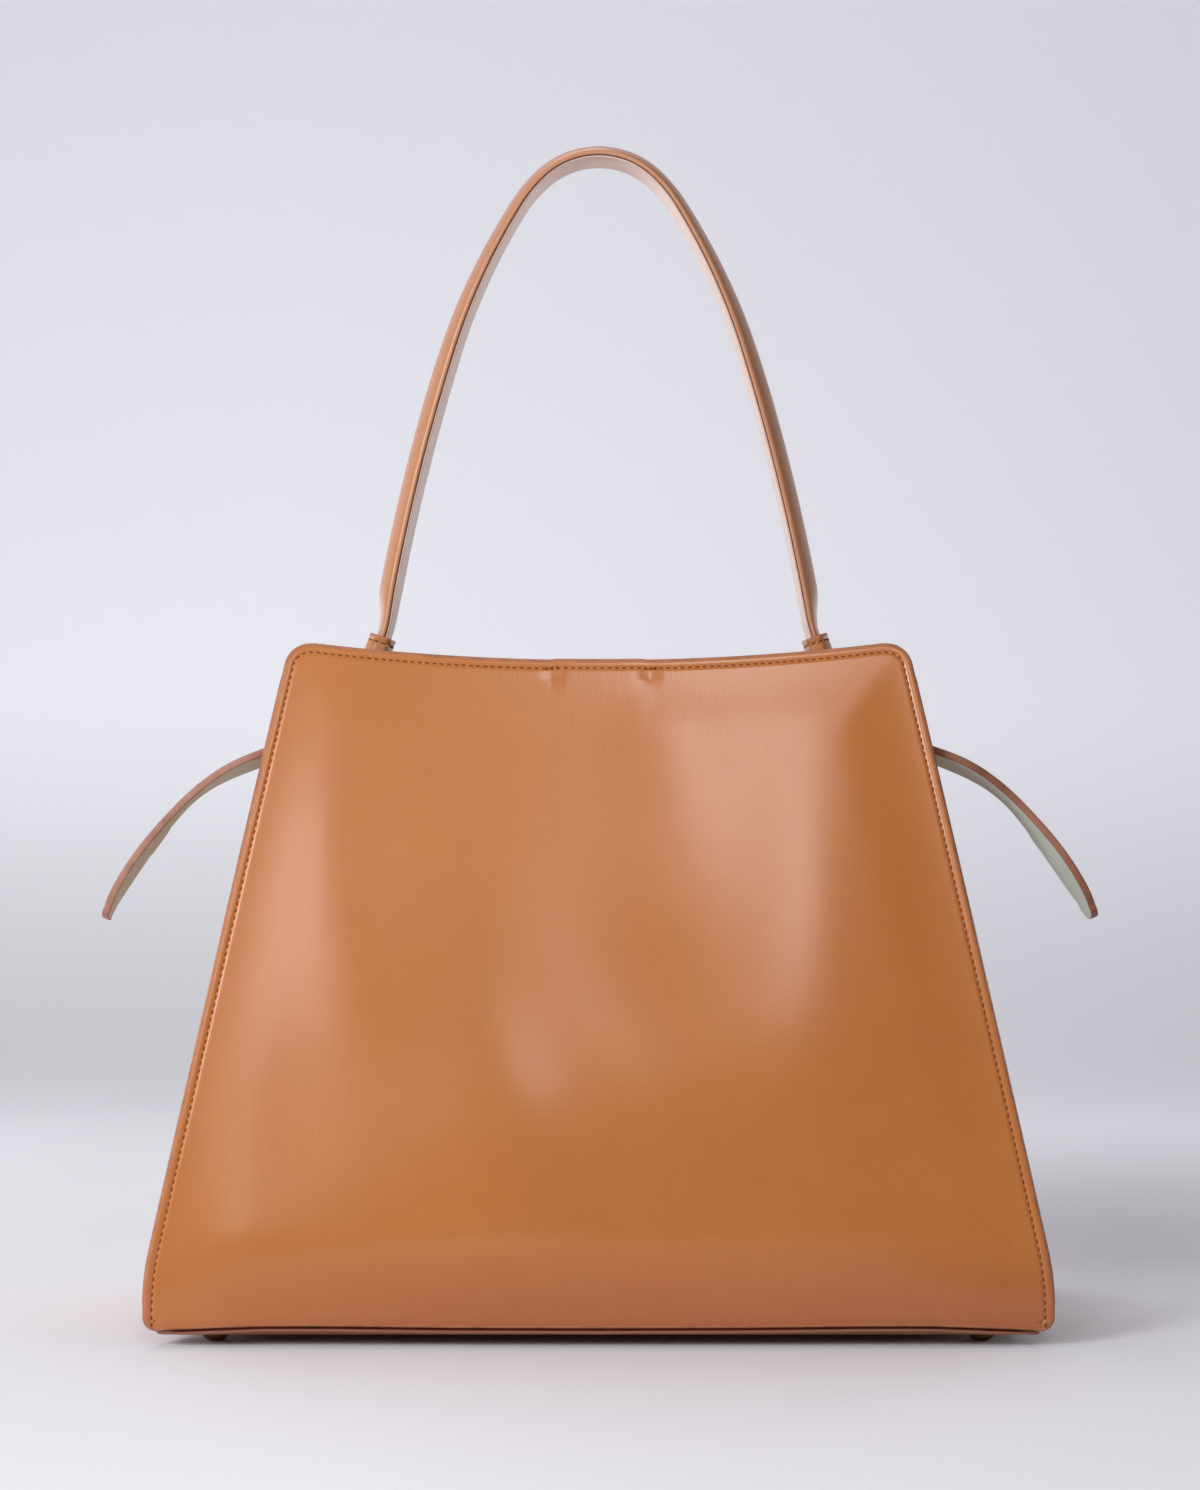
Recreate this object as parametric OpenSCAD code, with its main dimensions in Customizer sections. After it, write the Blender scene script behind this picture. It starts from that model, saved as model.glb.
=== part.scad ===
// Structured trapeze bag with one shoulder strap and a drooping wing on each side.
// Millimetres. +Z is up, the front faces -Y, and the origin is on the floor under the middle of the bag.

/* [Body] */
// Width across the panels at their widest
body_w = 375; // [340:1:410]
// Height of the panels' top corners above the floor
body_h = 290.7; // [260:0.1:320]
// Depth of the body at the bottom seam
base_d = 160; // [140:1:180]
// Depth of the body at the top corners
mouth_d = 56; // [54:1:64]
// Height of the bottom seam above the floor
seam_z = 8; // [7:0.1:10]
// How far the front and back swell out of a flat panel
swell = 5; // [2:0.5:8]
// Lean of the side edges from the vertical, in degrees
side_lean = 12; // [10:0.25:13]
// Radius of the swell above the bottom corners
belly_r = 110; // [80:5:150]
// Radius of the panels' bottom corners
bottom_corner_r = 9; // [7:0.5:12]
// Radius of the panels' top corners
top_corner_r = 11; // [8:0.5:16]
// How far the top edge dips between its corners
top_dip = 7.2; // [4:0.1:10]

/* [Leathers and boards] */
// Thickness of the front and back leather
panel_t = 1.8; // [1.4:0.1:2.4]
// Thickness of the gusset leather
gusset_t = 1.4; // [1:0.1:2]
// Thickness of the board behind the front and back leather
stiffener_t = 1.4; // [1:0.1:2]
// Thickness of the lining
lining_t = 0.9; // [0.6:0.1:1.4]
// Thickness of the load strip behind each gusset
load_strip_t = 2; // [1.6:0.1:2.4]
// Glue line between two leathers
glue = 0.1; // [0.05:0.01:0.2]
// Room round a board inside the seams
board_play = 0.4; // [0.3:0.1:0.8]
// Room between two linings where they meet
lining_play = 0.3; // [0.2:0.1:0.5]

/* [Gussets] */
// Width of the turned-out seam flange behind a panel's border
flange_w = 7; // [6:0.5:9]
// How far the flange's edge lies inside the panel's edge
flange_edge = 0.4; // [0.2:0.1:1]
// Width of the flat strip between the two creases
crease_gap = 26; // [24:1:30]
// Drop of the flange's top end below the panels' top corners
flange_drop = 10; // [8:0.5:16]
// Drop of the flat strip's top end below the panels' top corners
strip_drop = 33; // [31:0.5:40]

/* [Bottom] */
// Thickness of the bottom leather
base_t = 1.8; // [1.4:0.1:2.4]
// Thickness of the bottom board
board_t = 2.5; // [2:0.1:3.5]
// Thickness of the piping in the bottom seam
welt_d = 3; // [2:0.1:4]
// Radius of the bottom's corners, seen from below
base_corner_r = 12; // [8:1:18]
// Diameter of a foot
foot_d = 12; // [10:0.5:14]
// Distance of a foot's centre from the bottom's end
foot_inset_x = 13.5; // [11:0.5:24]
// Distance of a foot's centre from the bottom's front or back
foot_inset_y = 20; // [14:0.5:30]
// Diameter of a foot's shank
foot_shank_d = 3; // [2:0.5:4]
// Room round a foot's shank, and between a foot and the bottom
foot_play = 0.05; // [0.02:0.01:0.08]
// Diameter of a foot's washer
foot_washer_d = 10; // [8:0.5:12]
// Thickness of a foot's washer
foot_washer_t = 0.6; // [0.4:0.1:1]

/* [Shoulder strap] */
// Width of the strap
strap_w = 29; // [26:0.5:30]
// Height of the strap's crown above its seam
crown_h = 4.8; // [4:0.1:5.4]
// Thickness of the outer leather at the strap's edges
strap_edge_t = 1.6; // [1.2:0.1:2]
// Width of the filler under the crown
core_w = 23; // [20:0.5:24]
// Height of the filler
core_h = 3.1; // [2.4:0.1:3.4]
// Thickness of the filler at its edges
core_edge_t = 0.4; // [0.3:0.1:0.8]
// Thickness of the flat inner leather
strap_lining_t = 1.6; // [1.2:0.1:2]
// Radius of the strap's seam over its top
strap_top_r = 34.3; // [30:0.1:40]
// Turn of the strap over its top, on each side, in degrees
strap_top_turn = 42.1; // [38:0.1:46]
// Radius of the strap's seam at its shoulders
strap_shoulder_r = 58.9; // [50:0.1:80]
// Turn of the strap at its shoulders
strap_shoulder_turn = 15.9; // [12:0.1:20]
// Radius of the strap's seam below the shoulders
strap_side_r = 268; // [200:1:320]
// Turn of the strap below the shoulders
strap_side_turn = 14.6; // [12:0.1:17]
// Radius of the strap's seam along its legs
strap_leg_r = 921; // [700:1:1200]
// Turn of the strap along its legs
strap_leg_turn = 7.4; // [5:0.1:8]
// Radius with which the legs turn back out towards the collars
strap_foot_r = 60; // [50:1:90]
// How far the legs turn back out
strap_foot_turn = 9; // [7:0.1:10]
// Length of strap inside each collar
strap_in_collar = 8; // [6:0.5:9]

/* [Collars] */
// Length of a collar
collar_l = 26; // [24:0.5:28]
// Thickness of a collar's leather
collar_t = 2; // [1.6:0.1:2.4]
// Room between a collar and the strap
collar_play = 0.1; // [0.05:0.01:0.2]
// Radius of a collar's inner corners
collar_corner_r = 0.3; // [0.2:0.1:0.3]
// Distance of the rivet from the collar's rim
rivet_from_rim = 16.5; // [16:0.5:18]
// Drop of the rivet below the panels' top corners
rivet_drop = 11.9; // [10:0.1:14]
// Diameter of the rivet
rivet_d = 4; // [3:0.1:4.5]
// Diameter of a rivet head
rivet_head_d = 8; // [7:0.5:9]
// Height of a rivet head
rivet_head_h = 1.4; // [1:0.1:2]
// Room round the rivet in the collar, and under its heads
rivet_play = 0.05; // [0.02:0.01:0.08]
// Distance of the load strip's edges from the creases and the strip's top end
load_strip_in = 1; // [0.5:0.1:2]
// Width of the load strip's neck inside the collar
neck_w = 10; // [9:0.5:12]
// Height over which the load strip narrows to its neck
neck_rise = 5; // [3:0.5:8]
// Room round the rivet in the neck, which lets the collar turn on leaning leather
neck_play = 0.3; // [0.28:0.01:0.4]

/* [Wings] */
// Drop of the wings' roots below the panels' top corners
wing_drop = 35; // [34:0.5:45]
// Slope of a wing at its root, in degrees below the horizontal
wing_slope = 13.7; // [10:0.1:18]
// Radius of a wing's droop next to its root
wing_root_r = 265; // [200:1:400]
// Turn of a wing next to its root, in degrees
wing_root_turn = 9.5; // [6:0.1:14]
// Radius of a wing's droop at its shoulder
wing_shoulder_r = 93; // [80:1:110]
// Turn of a wing at its shoulder
wing_shoulder_turn = 23.2; // [18:0.1:26]
// Radius of a wing's droop past its shoulder
wing_middle_r = 186; // [150:1:240]
// Turn of a wing past its shoulder
wing_middle_turn = 14; // [10:0.1:18]
// Radius of a wing's droop at its tip
wing_tip_r = 112; // [80:1:140]
// Turn of a wing at its tip
wing_tip_turn = 7.1; // [5:0.1:12]
// Half width of a wing at its widest
wing_half_w = 30; // [26:0.5:32]
// Radius of the hollow across a wing
wing_cup_r = 165; // [120:5:240]
// Thickness of a wing's upper leather
wing_t = 1.5; // [1.2:0.1:2]
// Thickness of a wing's lining
wing_lining_t = 1.1; // [0.8:0.1:1.4]
// Thickness to which both are pared at the root
pared_t = 0.65; // [0.5:0.05:0.8]
// Length over which they are pared
pared_l = 12; // [8:1:20]
// Distance of a wing's bending line from the gusset
wing_hinge_gap = 0.9; // [0.85:0.05:1]
// Height of the sewn patch under a wing's root
anchor_h = 9; // [7:0.5:12]
// Thickness of the patch
anchor_t = 1.3; // [1:0.1:1.6]
// Drop of the patch below the wing's root
anchor_drop = 4.5; // [4:0.5:6]
// Distance of the patch's ends from the creases
anchor_in = 2; // [1:0.5:4]

/* [Magnets] */
// Diameter of the magnets
magnet_d = 13; // [10:0.5:14]
// Thickness of a wing's magnet
wing_magnet_t = 1; // [0.8:0.1:1.2]
// Distance of a magnet from the wing's root, along the wing
magnet_reach = 100; // [90:1:106]
// Room round a magnet
magnet_play = 0.05; // [0.02:0.01:0.1]

/* [Inner closure] */
// Width of the closure's tabs
tab_w = 37; // [30:1:44]
// Reach of each tab past the middle of the mouth
tab_overlap = 10; // [9:0.5:13]
// Drop of the upper tab below the dipped top edge
tab_drop = 6; // [5:0.5:9]
// Thickness of a tab's leather
tab_t = 1.2; // [1:0.1:1.6]
// Thickness of a tab's lining
tab_lining_t = 0.8; // [0.6:0.1:1.2]
// Radius of a tab's free corners
tab_corner_r = 8; // [4:1:9]
// Distance of a tab's root from the bag's lining
tab_root_gap = 0.6; // [0.5:0.1:0.9]
// Diameter of each half of the snap
snap_d = 17; // [14:0.5:18]
// Thickness of each half of the snap
snap_t = 1.6; // [1.4:0.1:2]
// Diameter of the snap's pin
snap_pin_d = 5; // [4:0.5:6]
// Length of the snap's pin
snap_pin_l = 1.2; // [0.8:0.1:1.3]
// Room between the two halves
snap_gap = 0.15; // [0.1:0.05:0.3]
// Room round the pin
snap_play = 0.4; // [0.35:0.05:0.5]
// Diameter of the washer behind each half
snap_washer_d = 12; // [10:0.5:14]
// Thickness of the washer behind each half
snap_washer_t = 0.4; // [0.3:0.1:0.6]

/* [Hidden] */

TAN = "#C47E48";
DARK_TAN = "#A4683A";
BLUSH = "#C8A596";
SAGE = "#A5AFA0";
BOARD = "#B9A88C";
BRASS = "#9C8150";
STEEL = "#9A9A98";
$fn = 64;
SMOOTH = 360;

// Layers behind the front and back leather, as depths from the panel's outer face
behind_panel = panel_t + glue;
lining_depth = behind_panel + max(gusset_t, stiffener_t) + glue;
inner_depth = lining_depth + lining_t;

// The front's profile is an arc, seen from the side, through the bottom seam and the top corners
rise = body_h - seam_z;
draw_in = (base_d - mouth_d) / 2;
chord = sqrt(rise * rise + draw_in * draw_in);
profile_r = chord * chord / (8 * swell) + swell / 2;
profile_y = -(base_d + mouth_d) / 4 + (profile_r - swell) * rise / chord;
profile_z = (body_h + seam_z) / 2 - (profile_r - swell) * draw_in / chord;
// Y of the front's surface at a height and a depth below its outer face
function front_y(z, depth = 0) = profile_y - sqrt(pow(profile_r - depth, 2) - pow(z - profile_z, 2));

// Outline of the panels, seen from the front
widest_z = seam_z + bottom_corner_r;
belly_top_z = widest_z + belly_r * sin(side_lean);
belly_in = belly_r * (1 - cos(side_lean));
// Half width of the panel at a height
function side_x(z) = body_w / 2 - (
    z > belly_top_z ? belly_in + (z - belly_top_z) * tan(side_lean)
    : z > widest_z ? belly_r - sqrt(pow(belly_r, 2) - pow(z - widest_z, 2))
    : bottom_corner_r - sqrt(pow(bottom_corner_r, 2) - pow(widest_z - z, 2)));
function arc_points(centre, r, from, to, n) =
    [for (i = [0:n]) let (a = from + (to - from) * i / n) centre + r * [cos(a), sin(a)]];

// Arcs joined end to end in the XZ plane. A state is [x, z, slope below the horizontal].
function arc_end(s, arc) =
    let (r = arc[0] * sign(arc[1]), a = s[2] + arc[1])
    [s[0] + r * (sin(a) - sin(s[2])), s[1] + r * (cos(a) - cos(s[2])), a];
function arc_states(s, arcs, i = 0) =
    i == len(arcs) ? [s] : concat([s], arc_states(arc_end(s, arcs[i]), arcs, i + 1));
function ahead(s, l) = [s[0] + l * cos(s[2]), s[1] - l * sin(s[2]), s[2]];
function arc_length(arc) = arc[0] * abs(arc[1]) * PI / 180;
function total_length(arcs, i = 0) = i == len(arcs) ? 0 : arc_length(arcs[i]) + total_length(arcs, i + 1);
function state_at(s, arcs, along, i = 0) =
    let (l = arc_length(arcs[i]))
    along <= l || i == len(arcs) - 1
    ? arc_end(s, [arcs[i][0], arcs[i][1] * along / l])
    : state_at(arc_end(s, arcs[i]), arcs, along - l, i + 1);

// The strap's seam starts at the top and ends straight inside the collar, which turns on the rivet
function arch_r(half, high) = (half * half + high * high) / (2 * high);
crown_r = arch_r(strap_w / 2, crown_h - strap_edge_t);
core_r = arch_r(core_w / 2, core_h - core_edge_t);
strap_arcs = [
    [strap_top_r, strap_top_turn], [strap_shoulder_r, strap_shoulder_turn], [strap_side_r, strap_side_turn],
    [strap_leg_r, strap_leg_turn], [strap_foot_r, -strap_foot_turn]];
collar_low = -strap_lining_t - collar_play;
collar_high = crown_h + collar_play;
collar_mid = (collar_low + collar_high) / 2;
strap_rest = arc_states([0, 0, 0], strap_arcs);
strap_end = strap_rest[len(strap_arcs)];
collar_lean = 90 - strap_end[2];
rivet_x = strap_end[0] + rivet_from_rim * cos(strap_end[2]) + collar_mid * sin(strap_end[2]);
rivet_z = body_h - rivet_drop;
strap_top_z = rivet_z - (strap_end[1] - rivet_from_rim * sin(strap_end[2]) + collar_mid * cos(strap_end[2]));
strap_states = arc_states([0, strap_top_z, 0], strap_arcs);
strap_seam_end = strap_states[len(strap_arcs)];

// The gusset's flat strip leans from the bottom seam up to the rivet, with the load strip behind it
gusset_bottom_z = seam_z + glue;
strip_bottom_x = side_x(gusset_bottom_z) - flange_w;
strip_face = load_strip_t / 2 + glue + gusset_t;
strip_lean = atan((strip_bottom_x - strip_face - rivet_x) / (rivet_z - gusset_bottom_z));
function strip_x(z) = rivet_x + strip_face / cos(strip_lean) + (rivet_z - z) * tan(strip_lean);
strip_top_z = body_h - strip_drop;
flange_top_z = body_h - flange_drop;
gusset_lining_depth = (strip_face + load_strip_t / 2 + glue) / cos(strip_lean);

// Bottom
base_half_x = strip_bottom_x;
base_half_y = base_d / 2;
base_z = seam_z - glue - welt_d;
board_z = base_z + base_t + glue;
foot_x = base_half_x - foot_inset_x;
foot_y = base_half_y - foot_inset_y;
washer_z = board_z + board_t;
base_lining_z = washer_z + foot_washer_t + glue;
board_half_x = strip_x(base_lining_z + lining_t) - gusset_lining_depth - lining_t - board_play;
board_half_y = base_half_y - inner_depth - board_play;

// Wings
wing_root_z = body_h - wing_drop;
wing_axis = [strip_x(wing_root_z) + wing_hinge_gap / cos(strip_lean), wing_root_z];
root_mid = pared_t + glue / 2;
wing_start = [
    wing_axis[0] + root_mid * sin(wing_slope), wing_axis[1] + root_mid * cos(wing_slope), wing_slope];
wing_arcs = [
    [wing_root_r, wing_root_turn], [wing_shoulder_r, wing_shoulder_turn],
    [wing_middle_r, wing_middle_turn], [wing_tip_r, wing_tip_turn]];
wing_l = total_length(wing_arcs);
// Shares of the length, each with the half width there as a share of the widest
wing_plan = [
    [0, 0.37], [0.13, 0.56], [0.31, 1], [0.55, 0.68], [0.77, 0.9], [0.9, 0.78], [0.97, 0.45], [1, 0.1]];
wing_steps = 24;
wing_columns = 8;

// Inner closure, all heights counted down from the upper tab's top
tab_top_z = body_h - top_dip - tab_drop;
ply_gap = snap_washer_t + glue;
tab_full_t = tab_t + ply_gap + tab_lining_t;
stud_z = tab_top_z - tab_full_t - glue;
socket_z = stud_z - snap_t - snap_gap;
back_tab_top_z = socket_z - snap_t - glue;
front_root_y = front_y(tab_top_z, inner_depth) + tab_root_gap;
back_root_y = -front_y(back_tab_top_z, inner_depth) - tab_root_gap;

// A closed sheet between two grids of points, each a list of rows
module sheet(top, bottom) {
    rows = len(top);
    cols = len(top[0]);
    n = rows * cols;
    function at(r, c) = r * cols + c;
    skin = [for (r = [0:rows - 2], c = [0:cols - 2]) each [
        [at(r, c), at(r + 1, c), at(r + 1, c + 1)], [at(r, c), at(r + 1, c + 1), at(r, c + 1)]]];
    back = [for (f = skin) [f[2] + n, f[1] + n, f[0] + n]];
    rim = concat(
        [for (c = [0:cols - 1]) at(0, c)], [for (r = [1:rows - 1]) at(r, cols - 1)],
        [for (c = [cols - 2:-1:0]) at(rows - 1, c)], [for (r = [rows - 2:-1:1]) at(r, 0)]);
    m = len(rim);
    edge = [for (i = [0:m - 1]) let (a = rim[i], b = rim[(i + 1) % m])
        each [[a, b, b + n], [a, b + n, a + n]]];
    polyhedron(concat([for (row = top) each row], [for (row = bottom) each row]), concat(skin, back, edge));
}

module rounded_rect(w, h, r) {
    square([w - 2 * r, h], center = true);
    square([w, h - 2 * r], center = true);
    for (x = [-1, 1], y = [-1, 1]) translate([x * (w / 2 - r), y * (h / 2 - r)]) circle(r);
}

// Outline of a panel or a layer behind it, inside the panel's edge by side_in and top_in
least_corner_r = 2;
module panel_outline(side_in, top_in, bottom_z) {
    half = body_w / 2 - side_in;
    low_r = widest_z - bottom_z;
    high_r = max(top_corner_r - side_in, least_corner_r);
    top_z = body_h - top_in;
    high_z = top_z - high_r;
    high_x = side_x(high_z) - (side_in + high_r) / cos(side_lean);
    dip_half = side_x(body_h) - top_corner_r;
    dip_r = (dip_half * dip_half + top_dip * top_dip) / (2 * top_dip);
    right = concat(
        arc_points([half - low_r, widest_z], low_r, -90, 0, 6),
        arc_points([body_w / 2 - belly_r, widest_z], belly_r - side_in, 0, side_lean, 6),
        arc_points([high_x, high_z], high_r, side_lean, 90, 8));
    left = [for (i = [len(right) - 1:-1:0]) [-right[i][0], right[i][1]]];
    difference() {
        polygon(concat(right, left));
        translate([0, body_h - top_dip + dip_r]) circle(dip_r + top_in, $fn = SMOOTH);
    }
}

// One layer of the front, between two depths below its outer face
module front_layer(depth, thickness, side_in, top_in, bottom_z) {
    intersection() {
        rotate([90, 0, 0])
            linear_extrude(base_d / 2 + swell + 1) panel_outline(side_in, top_in, bottom_z);
        rotate([90, 0, 90]) linear_extrude(body_w + 2, center = true)
            translate([profile_y, profile_z]) difference() {
                circle(profile_r - depth, $fn = SMOOTH);
                circle(profile_r - depth - thickness, $fn = SMOOTH);
            }
    }
}

module panel() {
    color(TAN) front_layer(0, panel_t, 0, 0, seam_z);
}

// The stiffener ends where the gusset's flange and wall begin
stiffener_in = flange_w + gusset_t / sin(crease_angle(flange_top_z)) + board_play;
module stiffener() {
    color(BOARD) front_layer(behind_panel, stiffener_t, stiffener_in, board_play, seam_z + board_play);
}

lining_in = stiffener_in + lining_t / tan(crease_angle(flange_top_z));
module panel_lining() {
    color(SAGE) front_layer(lining_depth, lining_t, lining_in, lining_play, seam_z + board_play);
}

// Plan of the right gusset's outer face at a height, from the front flange round to the back one
function gusset_plan(z) =
    let (y = front_y(z, behind_panel + gusset_t), edge = side_x(z))
    [[edge - flange_edge, y], [edge - flange_w, y], [strip_x(z), -crease_gap / 2],
     [strip_x(z), crease_gap / 2], [edge - flange_w, -y], [edge - flange_edge, -y]];
// Angle between the panel and the gusset's wall at a height, seen from above
function crease_angle(z) =
    let (p = gusset_plan(z)) atan((p[2][1] - p[1][1]) / max(p[1][0] - p[2][0], 0.01));
// Points of a plan moved inward by d
function inward(a, b) = let (v = b - a) [-v[1], v[0]] / norm(v);
function plan_inset(p, i, d) =
    i == 0 ? p[0] + d * inward(p[0], p[1])
    : i == len(p) - 1 ? p[i] + d * inward(p[i - 1], p[i])
    : let (m = inward(p[i - 1], p[i]), n = inward(p[i], p[i + 1])) p[i] + d * (m + n) / (1 + m * n);
// Heights are closer together near the bottom, where the outline curves
gusset_rows = 16;
function row_z(i, top_z) = gusset_bottom_z + (top_z - gusset_bottom_z) * pow(i / gusset_rows, 1.6);
gusset_tops = [flange_top_z, flange_top_z, strip_top_z, strip_top_z, flange_top_z, flange_top_z];

function gusset_face(d) = [for (i = [0:gusset_rows]) [for (c = [0:5])
    let (z = row_z(i, gusset_tops[c]), p = plan_inset(gusset_plan(z), c, d)) [p[0], p[1], z]]];
module gusset() {
    color(TAN) sheet(gusset_face(gusset_t), gusset_face(0));
}

// The gusset's lining runs from one panel's lining round to the other's
function lining_end(z, d, back) =
    let (p = gusset_plan(z), a = plan_inset(p, 1, d), b = plan_inset(p, 2, d),
         y = front_y(z, inner_depth + lining_play), k = (y - a[1]) / (b[1] - a[1]), q = a + k * (b - a))
    [q[0], back ? -q[1] : q[1], z];
function gusset_lining_face(d) = [for (i = [0:gusset_rows])
    let (zf = row_z(i, flange_top_z), zs = row_z(i, strip_top_z), p = gusset_plan(zs),
         b = plan_inset(p, 2, d), c = plan_inset(p, 3, d))
    [lining_end(zf, d, false), [b[0], b[1], zs], [c[0], c[1], zs], lining_end(zf, d, true)]];
module gusset_lining() {
    inner = gusset_lining_depth + lining_t;
    color(SAGE) sheet(gusset_lining_face(inner), gusset_lining_face(gusset_lining_depth));
}

// Children in the load strip's frame: X out of its face, Y across it, Z up along it, origin at the rivet
module on_strip() {
    translate([rivet_x, 0, rivet_z]) rotate([0, -strip_lean, 0]) children();
}
// A plate square to X, from a shape drawn in Y and Z
module plate_x(x, t) {
    translate([x, 0, 0]) rotate([90, 0, 90]) linear_extrude(t) children();
}
// How far down the strip a height lies
function down_strip(z) = (rivet_z - z) / cos(strip_lean);
gusset_magnet_down = down_strip(wing_root_z) + magnet_reach;
load_strip_low = gusset_magnet_down + magnet_d;
load_strip_high = down_strip(strip_top_z) + load_strip_in;
module handle_tab() {
    wide = crease_gap / 2 - load_strip_in;
    neck = neck_w / 2;
    color(DARK_TAN) on_strip() plate_x(-load_strip_t / 2, load_strip_t) difference() {
        union() {
            polygon([[-wide, -load_strip_low], [wide, -load_strip_low], [wide, -load_strip_high],
                [neck, neck_rise - load_strip_high], [neck, 0], [-neck, 0],
                [-neck, neck_rise - load_strip_high], [-wide, -load_strip_high]]);
            circle(neck);
        }
        circle(rivet_d / 2 + neck_play);
        translate([0, -gusset_magnet_down]) circle(magnet_d / 2 + magnet_play);
    }
}
module gusset_magnet() {
    color(STEEL) on_strip() translate([-load_strip_t / 2, 0, -gusset_magnet_down])
        rotate([0, 90, 0]) cylinder(d = magnet_d, h = load_strip_t);
}
module wing_anchor() {
    top = -down_strip(wing_root_z) - anchor_drop;
    half = crease_gap / 2 - anchor_in;
    color(TAN) on_strip() plate_x(strip_face + glue, anchor_t)
        translate([-half, top - anchor_h]) square([2 * half, anchor_h]);
}

// Wings
function plan_slope(i) =
    i == 0 || i == len(wing_plan) - 1 ? 0
    : (wing_plan[i + 1][1] - wing_plan[i - 1][1]) / (wing_plan[i + 1][0] - wing_plan[i - 1][0]);
function plan_between(i, u) =
    let (a = wing_plan[i], b = wing_plan[i + 1], h = b[0] - a[0], t = (u - a[0]) / h)
    a[1] * (2 * t * t * t - 3 * t * t + 1) + b[1] * (3 * t * t - 2 * t * t * t)
    + h * plan_slope(i) * (t * t * t - 2 * t * t + t) + h * plan_slope(i + 1) * (t * t * t - t * t);
function wing_share(u, i = 0) =
    i == len(wing_plan) - 2 || u <= wing_plan[i + 1][0] ? plan_between(i, u) : wing_share(u, i + 1);
function wing_width(along) = wing_half_w * wing_share(along / wing_l);
function fully(along) = min(along / pared_l, 1);
function pared(t, along) = pared_t + (t - pared_t) * fully(along);
// How far a wing's middle hangs below its edges, which is nothing at the sewn root
function hollow(along, w) = fully(along) * w * w / (2 * wing_cup_r);
// Depth of each face of a wing's two leathers below its upper face, at a distance along the wing
function wing_upper(along) = 0;
function wing_middle(along) = pared(wing_t, along);
function lining_upper(along) = wing_middle(along) + glue;
function lining_lower(along) = lining_upper(along) + pared(wing_lining_t, along);
// One face of a wing, whose edges follow the arcs
function wing_face(depth) = [for (i = [0:wing_steps])
    let (along = wing_l * i / wing_steps, s = state_at(wing_start, wing_arcs, along), w = wing_width(along))
    [for (j = [-1:2 / wing_columns:1]) hung(s, w * j, depth(along) + hollow(along, w) * (1 - j * j))]];
function hung(s, y, d) = [s[0] - d * sin(s[2]), y, s[1] - d * cos(s[2])];
module in_wing() {
    s = state_at(wing_start, wing_arcs, magnet_reach);
    sag = hollow(magnet_reach, wing_width(magnet_reach));
    translate([s[0], 0, s[1]]) rotate([0, s[2], 0]) translate([0, 0, -sag]) children();
}
wing_magnet_depth = wing_t + glue / 2 - wing_magnet_t / 2;
module magnet_pocket() {
    in_wing() translate([0, 0, -wing_magnet_depth - wing_magnet_t - magnet_play])
        cylinder(d = magnet_d + 2 * magnet_play, h = wing_magnet_t + 2 * magnet_play);
}
module wing() {
    color(TAN) difference() {
        sheet(wing_face(function(l) wing_upper(l)), wing_face(function(l) wing_middle(l)));
        magnet_pocket();
    }
}
module wing_lining() {
    color(SAGE) difference() {
        sheet(wing_face(function(l) lining_upper(l)), wing_face(function(l) lining_lower(l)));
        magnet_pocket();
    }
}
module wing_magnet() {
    color(STEEL) in_wing() translate([0, 0, -wing_magnet_depth - wing_magnet_t])
        cylinder(d = magnet_d, h = wing_magnet_t);
}

// Shoulder strap: a face is a list of points across it, each [height above the seam, Y]
STRAP_STEP = 3;
function arc_rows(s, arc) =
    let (n = ceil(abs(arc[1]) / STRAP_STEP)) [for (i = [0:n - 1]) arc_end(s, [arc[0], arc[1] * i / n])];
half_strap = concat(
    [for (i = [0:len(strap_arcs) - 1]) each arc_rows(strap_states[i], strap_arcs[i])],
    [strap_seam_end, ahead(strap_seam_end, strap_in_collar)]);
function swept(face) = concat(
    [for (i = [len(half_strap) - 1:-1:1]) [for (p = face) raised(half_strap[i], p, -1)]],
    [for (s = half_strap) [for (p = face) raised(s, p, 1)]]);
function raised(s, p, side) = [side * (s[0] + p[0] * sin(s[2])), p[1], s[1] + p[0] * cos(s[2])];
function arched(half, r, top, n) =
    [for (i = [-n:2:n]) let (y = half * i / n) [top - r + sqrt(r * r - y * y), y]];
function flat(half, high, n) = [for (i = [-n:2:n]) [high, half * i / n]];
CORE_COLUMNS = 6;
module handle_strap() {
    groove = core_w / 2 + glue;
    hollow = concat([[0, -strap_w / 2], [0, -groove]],
        arched(groove, core_r + glue, core_h + glue, CORE_COLUMNS), [[0, groove], [0, strap_w / 2]]);
    color(TAN) sheet(swept(arched(strap_w / 2, crown_r, crown_h, CORE_COLUMNS + 4)), swept(hollow));
}
module handle_core() {
    color(BOARD) sheet(swept(arched(core_w / 2, core_r, core_h, CORE_COLUMNS)),
        swept(flat(core_w / 2, 0, CORE_COLUMNS)));
}
module handle_lining() {
    color(BLUSH) sheet(swept(flat(strap_w / 2, -glue, 1)), swept(flat(strap_w / 2, -strap_lining_t, 1)));
}

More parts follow.
